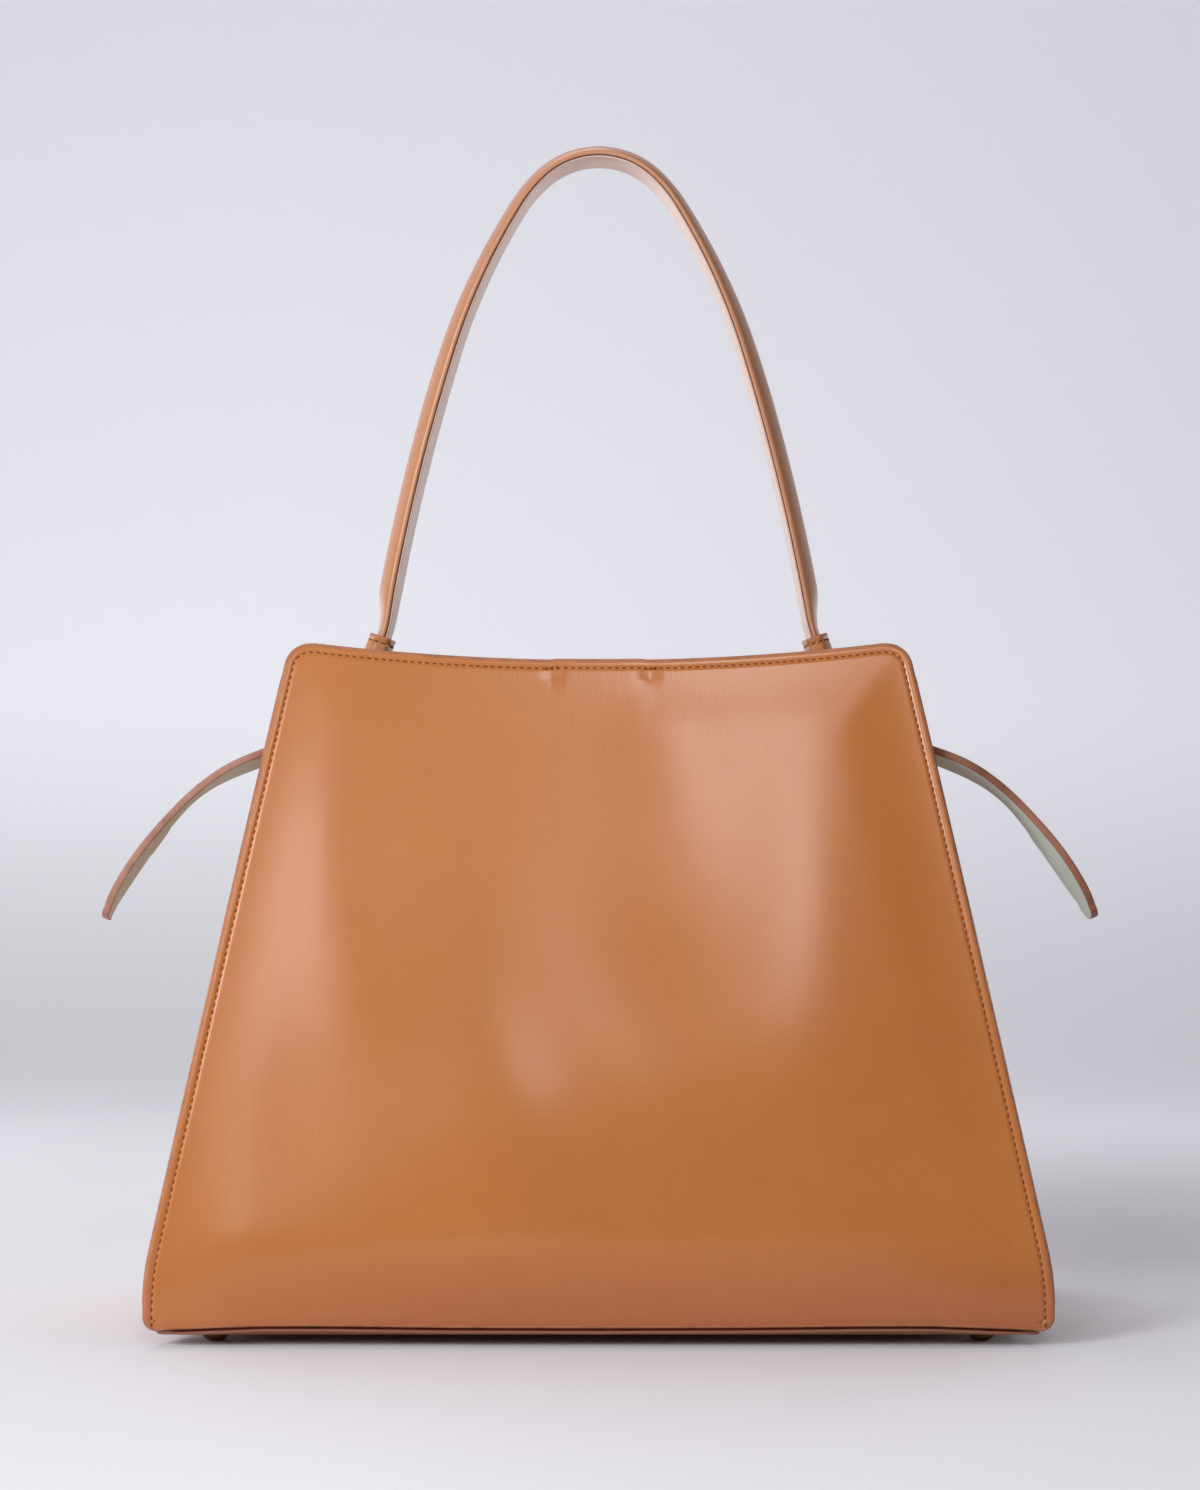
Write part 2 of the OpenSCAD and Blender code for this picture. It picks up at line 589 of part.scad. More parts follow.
// Children in the frame of the strap's end: Z down along it, and profiles lie in X and Y
module at_strap_end(down = 0) {
    s = strap_seam_end;
    translate([s[0], 0, s[1]]) rotate([0, 90 + s[2], 0]) translate([0, 0, down]) mirror([1, 0, 0]) children();
}
module collar_outline(grow) {
    low = collar_low - grow;
    high = collar_high + grow;
    width = strap_w + 2 * (collar_play + grow);
    round_r = crown_r + collar_play + grow;
    intersection() {
        translate([crown_h - crown_r, 0]) circle(round_r, $fn = SMOOTH);
        translate([(low + high) / 2, 0]) rounded_rect(high - low, width, collar_corner_r + grow);
    }
}
module handle_collar() {
    color(TAN) difference() {
        at_strap_end() linear_extrude(collar_l) difference() {
            collar_outline(collar_t);
            collar_outline(0);
        }
        on_rivet() cylinder(r = rivet_d / 2 + rivet_play, h = 4 * rivet_grip, center = true);
    }
}
// Children in the rivet's frame: Z out along it, from the middle of the collar
module on_rivet() {
    at_strap_end(rivet_from_rim) translate([collar_mid, 0, 0]) rotate([0, 90, 0]) children();
}
rivet_grip = (collar_high - collar_low) / 2 + collar_t + rivet_play;
module rivet_head() {
    dome_r = (pow(rivet_head_d / 2, 2) + rivet_head_h * rivet_head_h) / (2 * rivet_head_h);
    translate([0, 0, rivet_grip]) intersection() {
        translate([0, 0, rivet_head_h - dome_r]) sphere(dome_r);
        cylinder(d = rivet_head_d, h = rivet_head_h);
    }
}
module handle_rivet() {
    color(BRASS) on_rivet() union() {
        cylinder(d = rivet_d, h = 2 * rivet_grip, center = true);
        rivet_head();
        mirror([0, 0, 1]) rivet_head();
    }
}

// Bottom
module base_plate(half_x, half_y, r, z, t) {
    translate([0, 0, z]) linear_extrude(t) rounded_rect(2 * half_x, 2 * half_y, r);
}
module at_feet() {
    for (x = [-1, 1], y = [-1, 1]) translate([x * foot_x, y * foot_y, 0]) children();
}
module shank_holes() {
    at_feet() cylinder(r = foot_shank_d / 2 + foot_play, h = base_lining_z);
}
module base_panel() {
    inset = welt_d + glue;
    color(DARK_TAN) difference() {
        base_plate(base_half_x - inset, base_half_y - inset, base_corner_r - inset, base_z, base_t);
        shank_holes();
    }
}
module base_board() {
    color(BOARD) difference() {
        base_plate(board_half_x, board_half_y, base_corner_r / 2, board_z, board_t);
        shank_holes();
    }
}
module base_lining() {
    color(SAGE) base_plate(board_half_x, board_half_y, base_corner_r / 2, base_lining_z, lining_t);
}
module base_welt() {
    r = welt_d / 2;
    x = base_half_x - base_corner_r;
    y = base_half_y - base_corner_r;
    color(TAN) translate([0, 0, base_z + r]) union() {
        for (s = [-1, 1]) {
            translate([0, s * (base_half_y - r), 0]) rotate([0, 90, 0])
                cylinder(r = r, h = 2 * x, center = true);
            translate([s * (base_half_x - r), 0, 0]) rotate([90, 0, 0])
                cylinder(r = r, h = 2 * y, center = true);
        }
        for (q = [[x, y, 0], [-x, y, 90], [-x, -y, 180], [x, -y, 270]])
            translate([q[0], q[1], 0]) rotate([0, 0, q[2]])
                rotate_extrude(angle = 90) translate([base_corner_r - r, 0]) circle(r);
    }
}
module foot(x, y) {
    dome_z = base_z - foot_play;
    color(BRASS) translate([x * foot_x, y * foot_y, 0]) union() {
        intersection() {
            translate([0, 0, dome_z]) sphere(d = foot_d);
            cylinder(d = foot_d + 2, h = dome_z);
        }
        translate([0, 0, dome_z - 1]) cylinder(d = foot_shank_d, h = washer_z + foot_washer_t - dome_z + 1);
    }
}
module foot_washers() {
    color(STEEL) at_feet() translate([0, 0, washer_z]) difference() {
        cylinder(d = foot_washer_d, h = foot_washer_t);
        translate([0, 0, -1]) cylinder(r = foot_shank_d / 2 + foot_play, h = foot_washer_t + 2);
    }
}

// Inner closure: each tab is square at its root and rounded at its free end
module tab_plate(root_y, end_y, top_z, t) {
    dir = sign(end_y - root_y);
    reach = abs(end_y - root_y);
    translate([0, root_y, top_z - t]) linear_extrude(t) intersection() {
        translate([0, dir * (reach - tab_corner_r) / 2])
            rounded_rect(tab_w, reach + tab_corner_r, tab_corner_r);
        translate([-tab_w, dir > 0 ? 0 : -reach]) square([2 * tab_w, reach]);
    }
}
module snap_disc(z, t, hole_d) {
    translate([0, 0, z - t]) difference() {
        cylinder(d = t > snap_washer_t ? snap_d : snap_washer_d, h = t);
        if (hole_d > 0) translate([0, 0, -1]) cylinder(d = hole_d, h = t + 2);
    }
}
module closure_tab_front() {
    color(TAN) tab_plate(front_root_y, tab_overlap, tab_top_z, tab_t);
}
module closure_tab_front_lining() {
    color(SAGE) tab_plate(front_root_y, tab_overlap, tab_top_z - tab_t - ply_gap, tab_lining_t);
}
module closure_tab_back() {
    color(TAN) tab_plate(back_root_y, -tab_overlap, back_tab_top_z, tab_t);
}
module closure_tab_back_lining() {
    color(SAGE) tab_plate(back_root_y, -tab_overlap, back_tab_top_z - tab_t - ply_gap, tab_lining_t);
}
module snap_stud() {
    color(BRASS) union() {
        snap_disc(stud_z, snap_t, 0);
        translate([0, 0, stud_z - snap_t - snap_pin_l]) cylinder(d = snap_pin_d, h = snap_pin_l + snap_t / 2);
    }
}
module snap_socket() {
    color(BRASS) snap_disc(socket_z, snap_t, snap_pin_d + 2 * snap_play);
}
module snap_stud_washer() {
    color(STEEL) snap_disc(tab_top_z - tab_t - glue / 2, snap_washer_t, snap_pin_d);
}
module snap_socket_washer() {
    color(STEEL) snap_disc(back_tab_top_z - tab_t - glue / 2, snap_washer_t, snap_pin_d);
}

panel();  // front_panel
mirror([0, 1, 0]) panel();  // back_panel
stiffener();  // front_stiffener
mirror([0, 1, 0]) stiffener();  // back_stiffener
panel_lining();  // front_lining
mirror([0, 1, 0]) panel_lining();  // back_lining
mirror([1, 0, 0]) gusset();  // left_gusset
gusset();  // right_gusset
mirror([1, 0, 0]) gusset_lining();  // left_gusset_lining
gusset_lining();  // right_gusset_lining
base_panel();
base_board();
base_lining();
base_welt();
foot(-1, -1);  // foot_front_left
foot(1, -1);  // foot_front_right
foot(-1, 1);  // foot_back_left
foot(1, 1);  // foot_back_right
foot_washers();
mirror([1, 0, 0]) handle_tab();  // left_handle_tab
handle_tab();  // right_handle_tab
mirror([1, 0, 0]) gusset_magnet();  // left_gusset_magnet
gusset_magnet();  // right_gusset_magnet
mirror([1, 0, 0]) wing_anchor();  // left_wing_anchor
wing_anchor();  // right_wing_anchor
mirror([1, 0, 0]) wing();  // left_wing
wing();  // right_wing
mirror([1, 0, 0]) wing_lining();  // left_wing_lining
wing_lining();  // right_wing_lining
mirror([1, 0, 0]) wing_magnet();  // left_wing_magnet
wing_magnet();  // right_wing_magnet
handle_strap();
handle_core();
handle_lining();
mirror([1, 0, 0]) handle_collar();  // left_handle_collar
handle_collar();  // right_handle_collar
mirror([1, 0, 0]) handle_rivet();  // left_handle_rivet
handle_rivet();  // right_handle_rivet
closure_tab_front();
closure_tab_front_lining();
closure_tab_back();
closure_tab_back_lining();
snap_stud();
snap_socket();
snap_stud_washer();
snap_socket_washer();
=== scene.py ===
import math
import bmesh
import bpy
import numpy as np
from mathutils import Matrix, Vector


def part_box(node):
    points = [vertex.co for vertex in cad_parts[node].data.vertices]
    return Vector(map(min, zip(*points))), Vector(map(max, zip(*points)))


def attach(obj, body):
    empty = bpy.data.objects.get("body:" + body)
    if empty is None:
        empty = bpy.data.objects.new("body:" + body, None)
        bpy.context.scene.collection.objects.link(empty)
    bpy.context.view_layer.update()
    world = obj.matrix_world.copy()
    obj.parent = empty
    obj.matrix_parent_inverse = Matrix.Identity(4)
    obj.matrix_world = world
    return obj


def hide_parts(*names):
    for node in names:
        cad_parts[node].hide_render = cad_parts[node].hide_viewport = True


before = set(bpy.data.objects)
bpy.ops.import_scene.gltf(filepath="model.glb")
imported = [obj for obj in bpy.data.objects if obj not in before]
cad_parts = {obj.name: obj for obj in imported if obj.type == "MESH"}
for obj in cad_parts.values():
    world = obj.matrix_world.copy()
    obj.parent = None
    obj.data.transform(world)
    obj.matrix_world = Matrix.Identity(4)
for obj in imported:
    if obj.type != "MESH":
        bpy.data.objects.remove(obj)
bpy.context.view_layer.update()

MM = 0.001
RAD = math.pi / 180
rng = np.random.default_rng(7)

# ---------------------------------------------------------------- sizes of the CAD model, in mm
BODY_W, BODY_H, BASE_D, MOUTH_D = 375.0, 290.7, 160.0, 56.0
SEAM_Z, SWELL, LEAN, BELLY_R = 8.0, 5.0, 12 * RAD, 110.0
LOW_R, HIGH_R, TOP_DIP = 9.0, 11.0, 7.2
PANEL_T, GUSSET_T, STIFF_T, LINING_T, GLUE, PLAY = 1.8, 1.4, 1.4, 0.9, 0.1, 0.3
INNER = PANEL_T + STIFF_T + LINING_T + 2 * GLUE
FLANGE_W, FLANGE_EDGE, CREASE_GAP = 7.0, 0.4, 26.0
FLANGE_TOP, STRIP_TOP, LOAD_T = BODY_H - 10, BODY_H - 33, 2.0
RIVET = (99.3117, 278.8)
WELT_D, BASE_T = 3.0, 1.8
BASE_Z = SEAM_Z - GLUE - WELT_D
STRAP_W, CROWN, EDGE_T, STRAP_LINING_T = 29.0, 4.8, 1.6, 1.6
STRAP_TOP = 501.698
STRAP_ARCS = [(34.3, 42.1), (58.9, 15.9), (268, 14.6), (921, 7.4), (60, -9)]
WING_START = (109.054, 256.38, 13.7)
WING_ARCS = [(265, 9.5), (93, 23.2), (186, 14), (112, 7.1)]
WING_PLAN = [(0, .37), (.13, .56), (.31, 1), (.55, .68), (.77, .9), (.9, .78), (.97, .45), (1, .1)]
WING_HALF, WING_CUP, WING_T, WING_LINING_T = 30.0, 165.0, 1.5, 1.1
PARED_T, PARED_L, MAGNET_REACH = 0.65, 12.0, 100.0
TAB_W, TAB_OVER, TAB_T, TAB_LINING_T, TAB_R = 37.0, 10.0, 1.2, 0.8, 8.0
TAB_Z, BACK_TAB_Z, FRONT_ROOT, BACK_ROOT = 277.5, 271.45, -26.3122, 27.8177
FOOT = (159.338, 60.0)

RISE, DRAW = BODY_H - SEAM_Z, (BASE_D - MOUTH_D) / 2
CHORD = math.hypot(RISE, DRAW)
PROFILE_R = CHORD ** 2 / (8 * SWELL) + SWELL / 2
PROFILE_Y = -(BASE_D + MOUTH_D) / 4 + (PROFILE_R - SWELL) * RISE / CHORD
PROFILE_Z = (BODY_H + SEAM_Z) / 2 - (PROFILE_R - SWELL) * DRAW / CHORD
WIDEST_Z = SEAM_Z + LOW_R
BELLY_TOP = WIDEST_Z + BELLY_R * math.sin(LEAN)
BELLY_IN = BELLY_R * (1 - math.cos(LEAN))


def front_y(z, depth=0.0):
    """Y of the front's face at a height, and a depth below it."""
    return PROFILE_Y - np.sqrt((PROFILE_R - depth) ** 2 - (z - PROFILE_Z) ** 2)


def side_x(z, r=LOW_R):
    """Half width of the panels at a height, with bottom corners of radius r."""
    z = np.asarray(z, float)
    low = r - np.sqrt(np.maximum(r ** 2 - np.clip(SEAM_Z + r - z, 0, r) ** 2, 0))
    belly = BELLY_R - np.sqrt(BELLY_R ** 2 - np.clip(z - WIDEST_Z, 0, BELLY_TOP - WIDEST_Z) ** 2)
    return BODY_W / 2 - np.where(z < SEAM_Z + r, low, belly + np.maximum(z - BELLY_TOP, 0) * math.tan(LEAN))


def smooth(a, b, x):
    t = np.clip((np.asarray(x, float) - a) / (b - a), 0, 1)
    return t * t * (3 - 2 * t)


def bump(x, mid, wide):
    return np.exp(-((x - mid) / wide) ** 2)


# ---------------------------------------------------------------- materials
def srgb(r, g, b):
    def lin(c):
        c = c / 255
        return c / 12.92 if c <= 0.04045 else ((c + 0.055) / 1.055) ** 2.4
    return (lin(r), lin(g), lin(b), 1.0)


class Nodes:
    """A material and short calls for its nodes."""

    def __init__(self, name, stretch=(1, 1, 1)):
        self.material = bpy.data.materials.new(name)
        self.material.use_nodes = True
        self.tree = self.material.node_tree
        self.shader = self.tree.nodes["Principled BSDF"]
        place = self.add("ShaderNodeTexCoord").outputs["Object"]
        self.place = self.add("ShaderNodeMapping", {"Vector": place, "Scale": stretch}).outputs[0]

    def add(self, kind, inputs=None, **settings):
        node = self.tree.nodes.new(kind)
        for key, value in settings.items():
            setattr(node, key, value)
        for key, value in (inputs or {}).items():
            self.put(node.inputs[key], value)
        return node

    def put(self, socket, value):
        if isinstance(value, bpy.types.NodeSocket):
            self.tree.links.new(value, socket)
        else:
            socket.default_value = value

    def set(self, **sockets):
        for key, value in sockets.items():
            self.put(self.shader.inputs[key.replace("_", " ")], value)

    def noise(self, scale, detail=3.0, rough=0.55, distort=0.0):
        return self.add("ShaderNodeTexNoise", {"Vector": self.place, "Scale": scale, "Detail": detail,
                                               "Roughness": rough, "Distortion": distort}).outputs["Fac"]

    def cells(self, scale, feature="F1", random=1.0):
        return self.add("ShaderNodeTexVoronoi", {"Vector": self.place, "Scale": scale, "Randomness": random},
                        feature=feature).outputs["Distance"]

    def ramp(self, value, *stops):
        node = self.add("ShaderNodeValToRGB", {"Fac": value})
        marks = node.color_ramp.elements
        while len(marks) < len(stops):
            marks.new(0.5)
        for mark, (at, colour) in zip(marks, stops):
            mark.position, mark.color = at, colour
        return node.outputs["Color"]

    def spread(self, value, low, high, start=0.3, end=0.7):
        return self.add("ShaderNodeMapRange", {"Value": value, "From Min": start, "From Max": end,
                                               "To Min": low, "To Max": high}).outputs["Result"]

    def mix(self, fac, a, b, mode="MIX"):
        node = self.add("ShaderNodeMix", data_type="RGBA", blend_type=mode)
        self.put(node.inputs[0], fac)
        self.put(node.inputs[6], a)
        self.put(node.inputs[7], b)
        return node.outputs[2]

    def creases(self):
        """Hair-fine upright creases, drawn together under the middle of the top edge."""
        split = self.add("ShaderNodeSeparateXYZ", {"Vector": self.place}).outputs
        tall = self.add("ShaderNodeMapping", {"Vector": self.place, "Scale": (1, 1, 0.13)}).outputs[0]
        lines = self.add("ShaderNodeTexNoise", {"Vector": tall, "Scale": 720.0, "Detail": 2.0, "Distortion": 0.5})
        off = self.add("ShaderNodeMath", {0: split["X"], 1: 0.012}, operation="SUBTRACT").outputs[0]
        off = self.add("ShaderNodeMath", {0: off}, operation="ABSOLUTE").outputs[0]
        where = self.add("ShaderNodeMath", {0: self.spread(off, 1, 0, 0.035, 0.085),
                                            1: self.spread(split["Z"], 0, 1, 0.225, 0.275)}, operation="MULTIPLY")
        return self.add("ShaderNodeMath", {0: lines.outputs["Fac"], 1: where.outputs[0]}, operation="MULTIPLY").outputs[0]

    def bumps(self, *layers):
        """Each layer is (height socket, strength, distance in metres)."""
        normal = None
        for height, strength, distance in layers:
            node = self.add("ShaderNodeBump", {"Height": height, "Strength": strength, "Distance": distance})
            if normal is not None:
                self.put(node.inputs["Normal"], normal)
            normal = node.outputs["Normal"]
        self.set(Normal=normal)


def shade(colour, k):
    return tuple(min(1, c * k) for c in colour[:3]) + (1.0,)


def leather(name, colour, rough=0.46, coat=0.35, coat_rough=0.3, grain=1.0, vary=0.1, spec=0.4, creased_and_painted_shade=False):
    """Smooth aniline leather: cloudy dye, fine pebble grain, pores and hair-fine creases; the creased kind also gets
    painted shade, darker and cooler towards the bottom and less so on the left.
    """
    m = Nodes(name)
    cloud = m.noise(9, 4, 0.6, 0.3)
    mottle = m.noise(70, 4, 0.6)
    base = m.ramp(cloud, (0.3, shade(colour, 1 - vary)), (0.5, colour), (0.72, shade(colour, 1 + vary)))
    red = shade((colour[0], colour[1] * 0.93, colour[2] * 0.85), 0.97)
    base = m.mix(m.spread(mottle, 0, 0.45, 0.35, 0.75), base, red)
    pores = m.cells(950)
    base = m.mix(m.spread(pores, 0.22, 0, 0.05, 0.32), base, shade(colour, 0.62))
    m.set(Base_Color=base, Roughness=m.spread(m.noise(240, 3), rough - 0.05, rough + 0.06))
    m.set(Specular_IOR_Level=spec, Coat_Weight=coat, Coat_Roughness=coat_rough, Coat_IOR=1.5)
    layers = [(m.noise(1500, 4, 0.65), 0.3 * grain, 0.00012), (pores, 0.2 * grain, 0.0001),
              (m.noise(700, 3, 0.6, 0.5), 0.5 * grain, 0.0002), (m.noise(330, 3, 0.6, 0.8), 0.3 * grain, 0.00022),
              (m.noise(60, 2), 0.1, 0.0006)]
    if creased_and_painted_shade:
        layers.append((m.creases(), 1.0, 0.00042))
        # Painted shade: the colour darkens and cools towards the bottom edge, less on the left where the key light
        # reaches.
        place = m.add("ShaderNodeSeparateXYZ", {"Vector": m.place}).outputs
        low = m.add("ShaderNodeMath", {0: m.spread(place["Z"], 1, 0, 0.01, 0.045), 1: m.spread(place["X"], 0.35, 1, -0.17, -0.06)},
                    operation="MULTIPLY").outputs[0]
        m.set(Base_Color=m.mix(low, base, (0.83, 0.75, 0.98, 1), "MULTIPLY"))
    m.bumps(*layers)
    return m.material


def suede(name, colour, nap=1.0, rough=0.85):
    m = Nodes(name)
    fibre = m.noise(1900, 4, 0.7)
    brushed = m.noise(45, 4, 0.65, 0.6)
    base = m.ramp(brushed, (0.3, shade(colour, 0.9)), (0.55, colour), (0.75, shade(colour, 1.08)))
    base = m.mix(m.spread(fibre, 0.0, 0.3, 0.35, 0.7), base, shade(colour, 0.78))
    m.set(Base_Color=base, Roughness=m.spread(brushed, rough - 0.08, rough + 0.08))
    m.set(Specular_IOR_Level=0.25, Sheen_Weight=0.25, Sheen_Roughness=0.5)
    m.bumps((fibre, 0.35 * nap, 0.00015), (brushed, 0.15, 0.0004))
    return m.material


def painted_edge(name, colour, dark):
    """Edge paint: built up in coats, slightly uneven."""
    m = Nodes(name)
    uneven = m.noise(160, 3, 0.6)
    streak = m.noise(30, 2)
    base = m.ramp(uneven, (0.28, dark), (0.52, colour), (0.8, shade(colour, 1.12)))
    base = m.mix(m.spread(streak, 0, 0.35, 0.4, 0.7), base, shade(colour, 0.86))
    m.set(Base_Color=base, Roughness=m.spread(uneven, 0.48, 0.62), Specular_IOR_Level=0.3)
    m.bumps((uneven, 0.25, 0.0003), (m.noise(900, 3), 0.15, 0.0001))
    return m.material


def thread(name, colour):
    m = Nodes(name, (1, 1, 1))
    twist = m.add("ShaderNodeTexWave", {"Vector": m.place, "Scale": 900.0, "Distortion": 1.2, "Detail": 2.0},
                  bands_direction="DIAGONAL").outputs["Fac"]
    base = m.mix(m.spread(twist, 0, 0.6, 0.2, 0.8), colour, shade(colour, 0.62))
    m.set(Base_Color=base, Roughness=m.spread(twist, 0.7, 0.85, 0, 1), Specular_IOR_Level=0.12)
    m.bumps((twist, 0.5, 0.0001))
    return m.material


def metal(name, colour, rough=0.34, brushed=(1, 1, 14)):
    m = Nodes(name, brushed)
    scratch = m.noise(420, 4, 0.7)
    tarnish = m.noise(60, 4, 0.6)
    base = m.ramp(tarnish, (0.3, shade(colour, 0.6)), (0.55, colour), (0.8, shade(colour, 1.15)))
    m.set(Base_Color=base, Metallic=1.0, Roughness=m.spread(scratch, rough - 0.08, rough + 0.12))
    m.bumps((scratch, 0.12, 0.00005))
    return m.material


def pressed_board(name, colour):
    m = Nodes(name)
    fleck = m.noise(420, 5, 0.75)
    base = m.ramp(fleck, (0.3, shade(colour, 0.72)), (0.55, colour), (0.78, shade(colour, 1.2)))
    m.set(Base_Color=base, Roughness=m.spread(fleck, 0.78, 0.92), Specular_IOR_Level=0.2)
    m.bumps((fleck, 0.3, 0.0003))
    return m.material


TAN = leather("tan_leather", srgb(198, 121, 62), rough=0.55, coat=0.97, coat_rough=0.212, spec=0.08, vary=0.04, creased_and_painted_shade=True)
TAN_FACE = leather("tan_leather_strap", srgb(203, 142, 104), rough=0.5, coat=0.8, coat_rough=0.26, grain=0.9, vary=0.05, spec=0.2)
TAN_PATCH = leather("tan_leather_worked", srgb(196, 124, 70), rough=0.5, grain=1.4)
# Piping leather darkened as painted shade: the piping sits in shadow under the panel's bottom edge.
PIPING_PAINTED_SHADE = leather("piping_leather_painted_shade", srgb(146, 94, 74), rough=0.55, coat=0.3, coat_rough=0.3, spec=0.2, vary=0.05)
DARK = leather("dark_leather", srgb(150, 94, 56), rough=0.55, coat=0.2)
BLUSH = leather("blush_leather", srgb(218, 190, 178), rough=0.6, coat=0.1, grain=1.3, vary=0.05)
EDGE = painted_edge("edge_paint", srgb(188, 124, 90), srgb(164, 104, 76))
WING_EDGE = painted_edge("wing_edge_paint", srgb(182, 134, 116), srgb(164, 118, 100))
# A darker copy of the wing edge paint for the right wing: painted shade on the side away from the key light.
WING_EDGE_PAINTED_SHADE = painted_edge("wing_edge_paint_painted_shade", srgb(160, 106, 84), srgb(140, 90, 70))
SEAM = painted_edge("seam_shadow", srgb(112, 64, 44), srgb(80, 44, 30))
# Near-black band between the panel's bottom edge and the piping: a painted shadow line.
SEAM_PAINTED_SHADOW = painted_edge("seam_painted_shadow", srgb(74, 24, 10), srgb(52, 14, 6))
SEAM_PAINTED_SHADOW.node_tree.nodes["Principled BSDF"].inputs["Specular IOR Level"].default_value = 0.02
THREAD_DARK = thread("thread_dark", srgb(146, 72, 34))
# Pale colour of the raised leather between stitches: a painted highlight, not a thread colour.
STITCH_BULGE_HIGHLIGHT = thread("stitch_bulge_painted_highlight", srgb(224, 164, 112))
SAGE = suede("sage_lining", srgb(176, 186, 170))
# Wing lining: sage suede, made paler than the other lining as painted light for its shaded underside.
WING_SAGE_PAINTED_LIGHT = suede("sage_wing_painted_light", srgb(208, 230, 218), 0.8)
BRASS = metal("dull_brass", srgb(158, 128, 86), 0.42)
STEEL = metal("plain_steel", srgb(170, 170, 168), 0.3)
KRAFT = pressed_board("pressed_board", srgb(185, 168, 140))


# ---------------------------------------------------------------- mesh calls
def piece(name, parts, body, slot, *nodes, outward=False):
    """One object from parts, each (points in mm, faces, material)."""
    points, faces, slots, mats, n = [], [], [], [], 0
    for pts, quads, mat in parts:
        pts = np.asarray(pts, float).reshape(-1, 3)
        points.append(pts)
        faces += [[i + n for i in f] for f in quads]
        if mat not in mats:
            mats.append(mat)
        slots += [mats.index(mat)] * len(quads)
        n += len(pts)
    mesh = bpy.data.meshes.new(name)
    mesh.from_pydata((np.vstack(points) * MM).tolist(), [], faces)
    for mat in mats:
        mesh.materials.append(mat)
    mesh.polygons.foreach_set("material_index", slots)
    mesh.polygons.foreach_set("use_smooth", [True] * len(faces))
    mesh.validate()
    weld = bmesh.new()
    weld.from_mesh(mesh)
    bmesh.ops.remove_doubles(weld, verts=weld.verts, dist=2e-6)
    if outward:
        bmesh.ops.recalc_face_normals(weld, faces=weld.faces)
    weld.to_mesh(mesh)
    weld.free()
    mesh.update()
    obj = bpy.data.objects.new(name, mesh)
    bpy.context.scene.collection.objects.link(obj)
    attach(obj, body)
    if nodes:
        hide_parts(*nodes)
    return obj


def quads(rows, cols, ring=False, flip=False):
    """Faces of a grid of points; ring joins the last column to the first."""
    out = []
    for r in range(rows - 1):
        for c in range(cols if ring else cols - 1):
            d = (c + 1) % cols
            f = [r * cols + c, r * cols + d, (r + 1) * cols + d, (r + 1) * cols + c]
            out.append(f[::-1] if flip else f)
    return out


def loft(rings, mat, caps=True, flip=False):
    """Closed rings of points joined one after another."""
    rows, cols = len(rings), len(rings[0])
    faces = quads(rows, cols, ring=True, flip=flip)
    if caps:
        first, last = list(range(cols))[::-1], [(rows - 1) * cols + c for c in range(cols)]
        faces += [first[::-1] if flip else first, last[::-1] if flip else last]
    return (np.array(rings).reshape(-1, 3), faces, mat)


def unit(v):
    return v / np.maximum(np.linalg.norm(v, axis=-1, keepdims=True), 1e-9)


def facing(grid):
    return unit(np.cross(np.gradient(grid, axis=1), np.gradient(grid, axis=0)))


def shell(grid, t, face_mat, back_mat, rim_mat, rim=0.5):
    """A sheet of thickness t behind a grid of points, with a rounded rim. Normals point out of the face."""
    grid = np.asarray(grid, float)
    rows, cols = grid.shape[:2]
    normal = facing(grid)
    back = grid - normal * t
    out = np.zeros_like(grid)
    out[0] += grid[0] - grid[1]
    out[-1] += grid[-1] - grid[-2]
    out[:, 0] += grid[:, 0] - grid[:, 1]
    out[:, -1] += grid[:, -1] - grid[:, -2]
    out = unit(out)
    loop = ([(0, c) for c in range(cols)] + [(r, cols - 1) for r in range(1, rows)]
            + [(rows - 1, c) for c in range(cols - 2, -1, -1)] + [(r, 0) for r in range(rows - 2, 0, -1)])
    rings = []
    for a in np.linspace(90, -90, 7):
        s, c = math.sin(a * RAD), math.cos(a * RAD)
        rings.append([grid[i] * (0.5 + s / 2) + back[i] * (0.5 - s / 2) + out[i] * c * rim * t for i in loop])
    return [(grid, quads(rows, cols, flip=True), face_mat), (back, quads(rows, cols), back_mat),
            loft(rings, rim_mat, caps=False, flip=False)]


def blob(centre, along, across, up, long, wide, high, segs=8, rows=5):
    """Points and faces of a small rounded lozenge: thread ends, stitch holes."""
    pts, n = [], segs
    for i in range(rows):
        a = -math.pi / 2 + math.pi * (i + 0.5) / rows
        for j in range(n):
            b = 2 * math.pi * j / n
            pts.append(centre + along * (long * math.sin(a)) + across * (wide * math.cos(a) * math.cos(b))
                       + up * (high * math.cos(a) * math.sin(b)))
    faces = quads(rows, n, ring=True)
    faces += [list(range(n))[::-1], [(rows - 1) * n + j for j in range(n)]]
    return pts, faces


